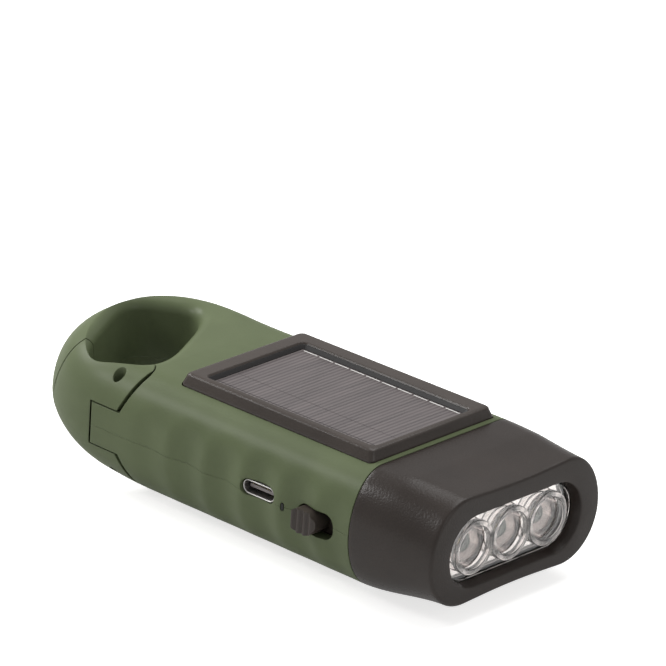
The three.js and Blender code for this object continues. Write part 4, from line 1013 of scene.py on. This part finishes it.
def make_top():
    half = housing_half(TOPSIDE)
    add(half, spigot(SEAM, ABOVE_ALL))
    cut(half, *shared_cuts())
    for x, y in SCREWS:
        add(half, post(POST_RADIUS, SEAM + GAP, CEILING + POST_RISE, x, y))
        cut(half, rod(THREAD_RADIUS, SEAM - OVER, CEILING - GAP, x, y, 24))
    piece(half, "body_top", GREEN, "green_plastic", stands_for=["top_shell"])


def pad_outline(inset):
    return rounded(BEZEL_X - PAD_LENGTH + inset, BEZEL_X - inset,
                   -PAD_HALF_WIDTH + inset, PAD_HALF_WIDTH - inset, PAD_CORNER)


def make_bottom():
    half = housing_half(UNDERSIDE)
    add(half, spigot(-BEYOND, SEAM))
    cut(half, *shared_cuts())
    add(half, tower([(pad_outline(inset), PAD_BOTTOM + rise) for rise, inset in PAD_EDGE]
                    + [(pad_outline(0), ROOT)]))
    for x, y in SCREWS:
        add(half, post(POST_RADIUS, ROOT, SEAM - GAP, x, y))
    for x, y in PLATE_POSTS:
        add(half, post(PLATE_POST_RADIUS, ROOT, PLATE_POST_TOP, x, y))
    for y in (-CRADLE_Y, CRADLE_Y):
        add(half, block(*CRADLE_X, y - CRADLE_HALF, y + CRADLE_HALF, ROOT, CRADLE_TOP))
    cut(half, rod_y(BATTERY_ROOM, -BATTERY_HALF, BATTERY_HALF, *BATTERY))
    for x, y in SCREWS:
        cut(half, rod(SHANK_ROOM, UNDERSIDE - OVER, SEAM + OVER, x, y, 32))
        cut(half, rod(HEAD_ROOM, UNDERSIDE - OVER, HEAD_LEVEL, x, y, 48))
    for x, y in PLATE_POSTS:
        cut(half, rod(THREAD_RADIUS, *PLATE_THREAD, x, y, 24))
    cut(half, rod(HUB_RADIUS + GAP, -OVER, FLOOR + GAP, *HUB, sides=HUB_SIDES))
    piece(half, "body_bottom", GREEN, "green_plastic", stands_for=["bottom_shell"])


def make_gate():
    shape = meet(housing(), gate_room(0))
    cut(shape, loop_hole(), pin_bore())
    leg_y, leg_z = PIN[1] - LEG_OFFSET, SEAM - LEG_DROP
    cut(shape, block(PIN[0] - KNUCKLE - GATE_LEG_LENGTH, PIN[0], leg_y - LEG_HALF, leg_y + LEG_HALF,
                     leg_z - LEG_HALF, leg_z + LEG_HALF))
    piece(shape, "gate", GREEN, "green_plastic", "gate", ["carabiner_gate"])


# Lamp window: an outline in y and z, and forms along x with that outline
def half_circle(y, r, start):
    turns = [start + math.pi * i / WINDOW_STEPS for i in range(WINDOW_STEPS + 1)]
    return [(y + r * math.sin(turn), SEAM - r * math.cos(turn)) for turn in turns]


def window(grow):
    middle, r = WINDOW_HALF - WINDOW_RADIUS, WINDOW_RADIUS + grow
    return half_circle(middle, r, 0) + half_circle(-middle, r, math.pi)


def window_stack(steps):
    return stack([[(x, y, z) for y, z in window(grow)] for x, grow in steps])


def window_prism(grow, x0, x1):
    return window_stack([(x0, grow), (x1, grow)])


def make_bezel():
    shape = bezel_shape(0, BEZEL_X, FACE_X, FACE_FILLET, rear=REAR_FILLET)
    cut(shape, bezel_shape(BEZEL_WALL, BEZEL_X - OVER, FACE_X - FRONT_WALL, 0))
    edge = [(FACE_X - depth, grow) for depth, grow in WINDOW_EDGE]
    cut(shape, window_stack([(LENS_FRONT - OVER, 0), (LENS_FRONT, 0)] + edge
                            + [(FACE_X + OVER, WINDOW_FLARE)]))
    piece(shape, "bezel", DARK, "dark_plastic", stands_for=["front_bezel"])


# Ring round each lamp on the lens, as [radius, height over its front]
BOSS = ([(4.66, -0.03), (5.9, -0.03), (5.9, 0.75)] + arc(5.6, 0.9, 0.3, 0, 90, 4)
        + arc(4.96, 0.9, 0.3, 90, 180, 4))


def make_lens():
    shape = window_prism(FLANGE, LENS_BACK, LENS_FRONT - GAP)
    add(shape, window_prism(-GAP, LENS_FRONT - LENS_STEP, LENS_FRONT))
    for i, y in enumerate(LAMPS):
        boss = lathe(BOSS, LENS_FRONT, y, SEAM, 96, "x")
        piece(boss, f"window_boss_{i + 1}", HAZY, "clear_plastic", limit=FINE_LIMIT)
    piece(shape, "window", CLEAR, "clear_plastic", stands_for=["lens"], limit=FINE_LIMIT)


def make_reflector():
    shape = window_prism(FLANGE, REFLECTOR_BACK, REFLECTOR_FRONT)
    shares = [i / CUP_STEPS for i in range(CUP_STEPS + 1)]
    cup = ([(0, -OVER), (CUP_FOOT, -OVER)]
           + [(CUP_FOOT + CUP_SPREAD * math.sqrt(share), CUP_DEPTH * share) for share in shares]
           + [(CUP_FOOT + CUP_SPREAD, CUP_DEPTH + OVER), (0, CUP_DEPTH + OVER)])
    room = [(0, -OVER), (LED_ROOM, -OVER), (LED_ROOM, LED_ROOM_DEPTH), (0, LED_ROOM_DEPTH)]
    for y in LAMPS:
        cut(shape, lathe(cup, REFLECTOR_FRONT - CUP_DEPTH, y, SEAM, 96, "x"),
            lathe(room, REFLECTOR_BACK, y, SEAM, 64, "x"))
    piece(shape, "cups", CHROME, "reflector_chrome", stands_for=["reflector"], limit=FINE_LIMIT)


def make_leds():
    dome_profile = LED_FOOT + arc(*LED_DOME)
    chip_outline = rounded(*CHIP_SIZE, 3)
    chip_x = [LED_BACK + level for level in CHIP_LEVELS]
    for i, y in enumerate(LAMPS):
        dome = lathe(dome_profile, LED_BACK, y, SEAM, 48, "x")
        piece(dome, f"led_{i + 1}_dome", CLEAR, "clear_plastic", stands_for=[f"led_{i + 1}"])
        cup = lathe(LED_CUP, LED_BACK, y, SEAM, 32, "x")
        piece(cup, f"led_{i + 1}_cup", STEEL, "steel")
        chip = front_prism([(y + a, SEAM + b) for a, b in chip_outline], *chip_x)
        piece(chip, f"led_{i + 1}_chip", PHOSPHOR, "white_plastic")


# Solar frame and panel
def panel_outline(grow):
    along, across = PANEL_LENGTH / 2 + grow, PANEL_WIDTH / 2 + grow
    return rounded(PANEL_X - along, PANEL_X + along, PANEL_Y - across, PANEL_Y + across,
                   GAP + grow, 6)


def panel_stack(steps):
    return tower([(panel_outline(GAP + grow), z) for grow, z in steps])


def make_frame():
    steps = [(FRAME_FLARE + grow, z) for grow, z in FRAME_FOOT]
    for turn in quarter_turns(FRAME_STEPS):
        steps.append((FRAME_SHOULDER - (1 - math.cos(turn)),
                      FRAME_TOP - FRAME_ROUNDING + FRAME_ROUNDING * math.sin(turn)))
    shape = tower([(frame_outline(grow), z) for grow, z in steps])
    cut(shape, panel_stack(FRAME_OPENING))
    piece(shape, "panel_frame", FRAME_DARK, "dark_plastic", stands_for=["solar_frame"],
          limit=FRAME_LIMIT)


# Raised strip on the panel
def strip(x0, x1, y0, y1, height):
    return block(x0, x1, y0, y1, PANEL_TOP, PANEL_TOP + height)


def make_panel():
    sheet = prism(panel_outline(0), PANEL_TOP - PANEL_THICKNESS, PANEL_TOP)
    piece(sheet, "cell", SOLAR, "solar_cell", stands_for=["solar_panel"])
    near, far = PANEL_Y - PANEL_WIDTH / 2, PANEL_Y + PANEL_WIDTH / 2
    pitch = (CELL_END - CELL_START) / BUS_BARS
    bars = [strip(CELL_START + i * pitch + BUS_GAP, CELL_START + (i + 1) * pitch - BUS_GAP,
                  far - BUS_NEAR, far - BUS_FAR, BUS_HEIGHT) for i in range(BUS_BARS)]
    piece(add(*bars), "busbar", SILVER, "steel")
    border = strip(CELL_START, CELL_END, near + BORDER_NEAR, near + BORDER_FAR, BORDER_HEIGHT)
    piece(border, "cell_border", CELL_LINE, "dark_plastic")
    wire_y = near + PANEL_WIDTH * WIRE_SHARE
    wire = strip(CELL_START, CELL_END, wire_y - WIRE_HALF, wire_y + WIRE_HALF, WIRE_HEIGHT)
    piece(wire, "cell_wire", CELL_WIRE, "dark_plastic")
    # Black liner over the opening's wall: painted shade where that wall lies in shadow
    shade_liner = cut(panel_stack(SHADE_LINER_OUTSIDE), panel_stack(SHADE_LINER_INSIDE))
    piece(shade_liner, "painted_shade_liner", PAINTED_SHADE_BLACK, "dark_plastic")


# Near side: USB socket and switch
def usb_stack(steps):
    rings = []
    for grow, y in steps:
        outline = anticlockwise(stadium(USB_WIDTH + 2 * grow, USB_HEIGHT + 2 * grow))
        rings.append([(USB_X + a, y, USB_Z + b) for a, b in outline])
    return stack(rings)


def make_usb():
    can = cut(usb_stack(USB_OUTSIDE), usb_stack(USB_INSIDE))
    piece(can, "usb_can", SOCKET_METAL, "steel", stands_for=["usb_shell"])
    bottom, top = USB_Z - INSERT_HALF, USB_Z + INSERT_HALF
    insert = block(*INSERT_X, *INSERT_Y, bottom, top)
    piece(insert, "usb_insert", SOCKET_TONGUE, "dark_plastic", stands_for=["usb_tongue"])
    contacts = []
    for i in range(CONTACTS):
        x = USB_X + (i - (CONTACTS - 1) / 2) * CONTACT_PITCH
        for z in (top, bottom - CONTACT_HEIGHT):
            contacts.append(block(x - CONTACT_HALF, x + CONTACT_HALF, *CONTACT_Y,
                                  z, z + CONTACT_HEIGHT))
    piece(add(*contacts), "usb_contacts", GOLD, "brass")


# The knob has grooves across its face, and a plate behind the slot
def make_switch():
    x0, x1 = SWITCH_X - KNOB_WIDTH / 2, SWITCH_X + KNOB_WIDTH / 2
    low, high = SWITCH_Z - KNOB_HEIGHT / 2, SWITCH_Z + KNOB_HEIGHT / 2
    inner_y, outer_y = SLIDE_Y + SLIDE_THICKNESS, -HALF_WIDTH - KNOB_PROUD
    plan = [(x0, inner_y), (x1, inner_y), (x1, outer_y + KNOB_SHOULDER)]
    for i in range(KNOB_STEPS, -1, -1):
        share = i / KNOB_STEPS
        groove = 0.5 * (1 + math.cos(2 * math.pi * share * RIBS))
        drop = KNOB_END_DROP * smoothstep(abs(share - 0.5), 0.4, 0.5)
        plan.append((x0 + KNOB_WIDTH * share, outer_y + RIB_DEPTH * groove ** RIB_POWER + drop))
    plan.append((x0, outer_y + KNOB_SHOULDER))
    knob = prism(plan, SWITCH_Z - KNOB_HEIGHT, SWITCH_Z + KNOB_HEIGHT)
    meet(knob, side_prism(rounded(x0, x1, low, high, KNOB_CORNER, 12), -HALF_WIDTH - KNOB_CUT, 0))
    add(knob, block(x0 - SLIDE_MARGIN, x1 + SLIDE_MARGIN, SLIDE_Y, inner_y,
                    low - SLIDE_MARGIN, high + SLIDE_MARGIN))
    piece(knob, "slide_button", KNOB_DARK, "dark_plastic", "switch", ["switch_knob"])


# Crank on the underside
def arm_plan(grow, hinge_end):
    half = ARM_WIDTH / 2 + grow
    end = arc(ARM_END_X + ARM_WIDTH / 2, 0, half, 90, 270, 40)
    return end + [(hinge_end, -half), (hinge_end, half)]


# Hub with its rim over the housing's floor, its drum and its shaft, and grip, as [radius, height]
HUB_PROFILE = ([(0, 1.65)] + arc(17.2, 1.95, 0.3, -90, 0, 4)
               + [(17.5, 4.35), (18.8, 4.35), (18.8, 5.85), (17.5, 5.85), (17.5, 11.65), (3, 11.65),
                  (3, 15.55), (0, 15.55)])
GRIP_PROFILE = ([(1.4, 4.95), (3.8, 4.95)] + arc(3.8, 5.35, 0.4, -90, 0, 4)
                + arc(3.5, 10.25, 0.7, 0, 90, 6) + [(2.6, 10.95), (2.6, 9.65), (1.4, 9.65)])


def make_hub():
    hub = lathe(HUB_PROFILE, *HUB, sides=HUB_SIDES)
    cut(hub, prism(arm_plan(GAP, HINGE_X + BARREL + GAP), PAD_BOTTOM - OVER, ARM_TOP + GAP))
    room = GRIP_RADIUS + GAP
    pocket = arc(GRIP_X, 0, room, -90, 90, 24) + arc(GRIP_X - GRIP_SWING, 0, room, 90, 270, 24)
    cut(hub, prism(pocket, ARM_TOP, ARM_TOP + GRIP_ROOM))
    for y0, y1 in EARS:
        ear = rod_y(BARREL, y0, y1, HINGE_X, HINGE_Z)
        add(ear, block(*EAR_X, y0, y1, HINGE_Z, ARM_TOP + GAP))
        add(hub, ear)
    cut(hub, rod_y(HINGE_BORE, -HINGE_HALF, HINGE_HALF, HINGE_X, HINGE_Z))
    piece(hub, "crank_disc", DARK, "dark_plastic", "crank", ["crank_hub"])


def make_arm():
    edges = ([(PAD_BOTTOM + rise, inset) for rise, inset in ARM_EDGE]
             + [(ARM_TOP - rise, inset) for rise, inset in ARM_EDGE[::-1]])
    arm = tower([(arm_plan(-inset, HINGE_X - BARREL - GAP - inset), z) for z, inset in edges])
    half, knuckle = ARM_WIDTH / 2, ARM_KNUCKLE
    add(arm, block(HINGE_X - ARM_NECK, HINGE_X, -knuckle, knuckle, PAD_BOTTOM, ARM_TOP - GAP),
        rod_y(BARREL, -knuckle, knuckle, HINGE_X, HINGE_Z))
    lip = meet(prism(arc(ARM_END_X + half, 0, half, *LIP_TURN, 32), 0, ARM_TOP - LIP_DROP),
               block(ARM_END_X - OVER, ARM_END_X + LIP_LENGTH, -half, half, 0, ARM_TOP))
    add(arm, lip)
    cut(arm, rod_y(HINGE_BORE, -half, half, HINGE_X, HINGE_Z),
        rod(RIVET_HOLE, *RIVET_CUT, GRIP_X, 0, 48),
        rod(RIVET_ROOM, RIVET_CUT[0], PAD_BOTTOM + RIVET_DEPTH, GRIP_X, 0, 48))
    piece(arm, "crank_lever", DARK, "dark_plastic", "arm", ["crank_arm"])


# Grip, and the rivet that holds it to the arm
def make_grip():
    grip = lathe(GRIP_PROFILE, GRIP_X, 0, sides=72)
    piece(grip, "crank_grip", DARK, "dark_plastic", "knob", ["crank_knob"])
    piece(lathe(RIVET, GRIP_X, 0, sides=48), "grip_rivet", STEEL, "steel", "arm", ["knob_post"])


def make_screws():
    for i, (x, y) in enumerate(SCREWS):
        screw = lathe(SCREW, x, y, sides=48)
        for a, b in (CROSS, CROSS[::-1]):
            cut(screw, block(x - a, x + a, y - b, y + b, *CROSS_LEVELS))
        piece(screw, f"case_fastener_{i + 1}", STEEL, "steel", stands_for=[f"case_screw_{i + 1}"])


make_top()
make_bottom()
make_gate()
make_bezel()
make_lens()
make_reflector()
make_leds()
make_frame()
make_panel()
make_usb()
make_switch()
make_hub()
make_arm()
make_grip()
make_screws()

# Materials of the CAD pieces that stay
KEPT = {
    STEEL: ["gate_pin", "gate_spring", "switch_body", "hinge_pin", "axle_1", "axle_2"]
    + [f"plate_screw_{i}" for i in range(1, 5)],
    BOARD: ["led_board", "main_board"],
    SMOKE: ["light_pipe"],
    CELL: ["battery"],
    GREY: ["gear_plate", "upper_plate"],
    WHITE: ["drive_gear", "compound_gear_1", "compound_gear_2", "coil_bobbin"],
    BRASS: ["rotor_pinion"],
    MAGNET: ["rotor_magnet"],
    COPPER: ["coil_winding"],
}
for material, names in KEPT.items():
    for name in names:
        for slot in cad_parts[name].material_slots:
            slot.material = material


# Floor, lights and background
STAGE_LEVEL = -0.02
STAGE_REACH = 4000
STAGE_COLOUR = (0.74, 0.74, 0.73, 1)
STAGE_LIFT_COLOUR = (1, 0.995, 0.99, 1)
STAGE_LIFT = 0.72
SKY_LIGHT = 0.34
WHITE_LIGHT = (1, 1, 1, 1)


def make_floor():
    corners = [(-1, -1), (1, -1), (1, 1), (-1, 1)]
    floor = solid([(STAGE_REACH * a, STAGE_REACH * b, STAGE_LEVEL) for a, b in corners],
                  [(0, 1, 2, 3)], "floor")
    material = bpy.data.materials.new("floor")
    material.use_nodes = True
    tree = material.node_tree
    tree.nodes.clear()
    diffuse = put(tree.nodes.new("ShaderNodeBsdfDiffuse"), Color=STAGE_COLOUR)
    lift = put(tree.nodes.new("ShaderNodeEmission"), Color=STAGE_LIFT_COLOUR, Strength=STAGE_LIFT)
    both = tree.nodes.new("ShaderNodeAddShader")
    tree.links.new(diffuse.outputs[0], both.inputs[0])
    tree.links.new(lift.outputs[0], both.inputs[1])
    look = seen_apart(tree, diffuse.outputs[0], both.outputs[0])
    put(tree.nodes.new("ShaderNodeOutputMaterial"), Surface=look)
    floor.data.materials.append(material)


# 1 where the camera looks, also by way of gloss or glass
def seen_by(tree):
    path = tree.nodes.new("ShaderNodeLightPath")
    total = path.outputs["Is Camera Ray"]
    for name in ("Is Glossy Ray", "Is Transmission Ray"):
        highest = tree.nodes.new("ShaderNodeMath")
        highest.operation = "MAXIMUM"
        tree.links.new(total, highest.inputs[0])
        tree.links.new(path.outputs[name], highest.inputs[1])
        total = highest.outputs[0]
    return total


# One shader for the light on the object, and another for what the camera sees
def seen_apart(tree, lighting, seen):
    switch = put(tree.nodes.new("ShaderNodeMixShader"), Fac=seen_by(tree))
    tree.links.new(lighting, switch.inputs[1])
    tree.links.new(seen, switch.inputs[2])
    return switch.outputs[0]


def make_world():
    world = bpy.data.worlds.new("world")
    bpy.context.scene.world = world
    world.use_nodes = True
    tree = world.node_tree
    soft = put(tree.nodes["Background"], Color=WHITE_LIGHT, Strength=SKY_LIGHT)
    white = put(tree.nodes.new("ShaderNodeBackground"), Color=WHITE_LIGHT, Strength=1)
    look = seen_apart(tree, soft.outputs[0], white.outputs[0])
    put(tree.nodes["World Output"], Surface=look)


# Square light, with its place, aim and size in metres and its power in watts
def make_light(name, place, aim, size, power):
    data = bpy.data.lights.new(name, "AREA")
    data.shape, data.size, data.energy = "SQUARE", size, power
    light = new_object(name, data)
    light.location = place
    light.rotation_mode = "QUATERNION"
    light.rotation_quaternion = (Vector(aim) - Vector(place)).to_track_quat("-Z", "Y")


make_floor()
make_world()
make_light("overhead", (-0.1, 0.35, 1), (0, 0, 0), 0.8, 8.2)
make_light("tail_side", (-0.95, -0.05, 0.65), (-0.02, 0, 0), 0.45, 7.5)
make_light("lamp_side", (0.95, -0.1, 0.45), (0.03, 0, 0), 0.5, 1.2)
make_light("edge", (-0.62, -0.5, 0.55), (0.03, 0, 0), 0.22, 2.4)

bpy.context.scene.view_settings.view_transform = "Standard"
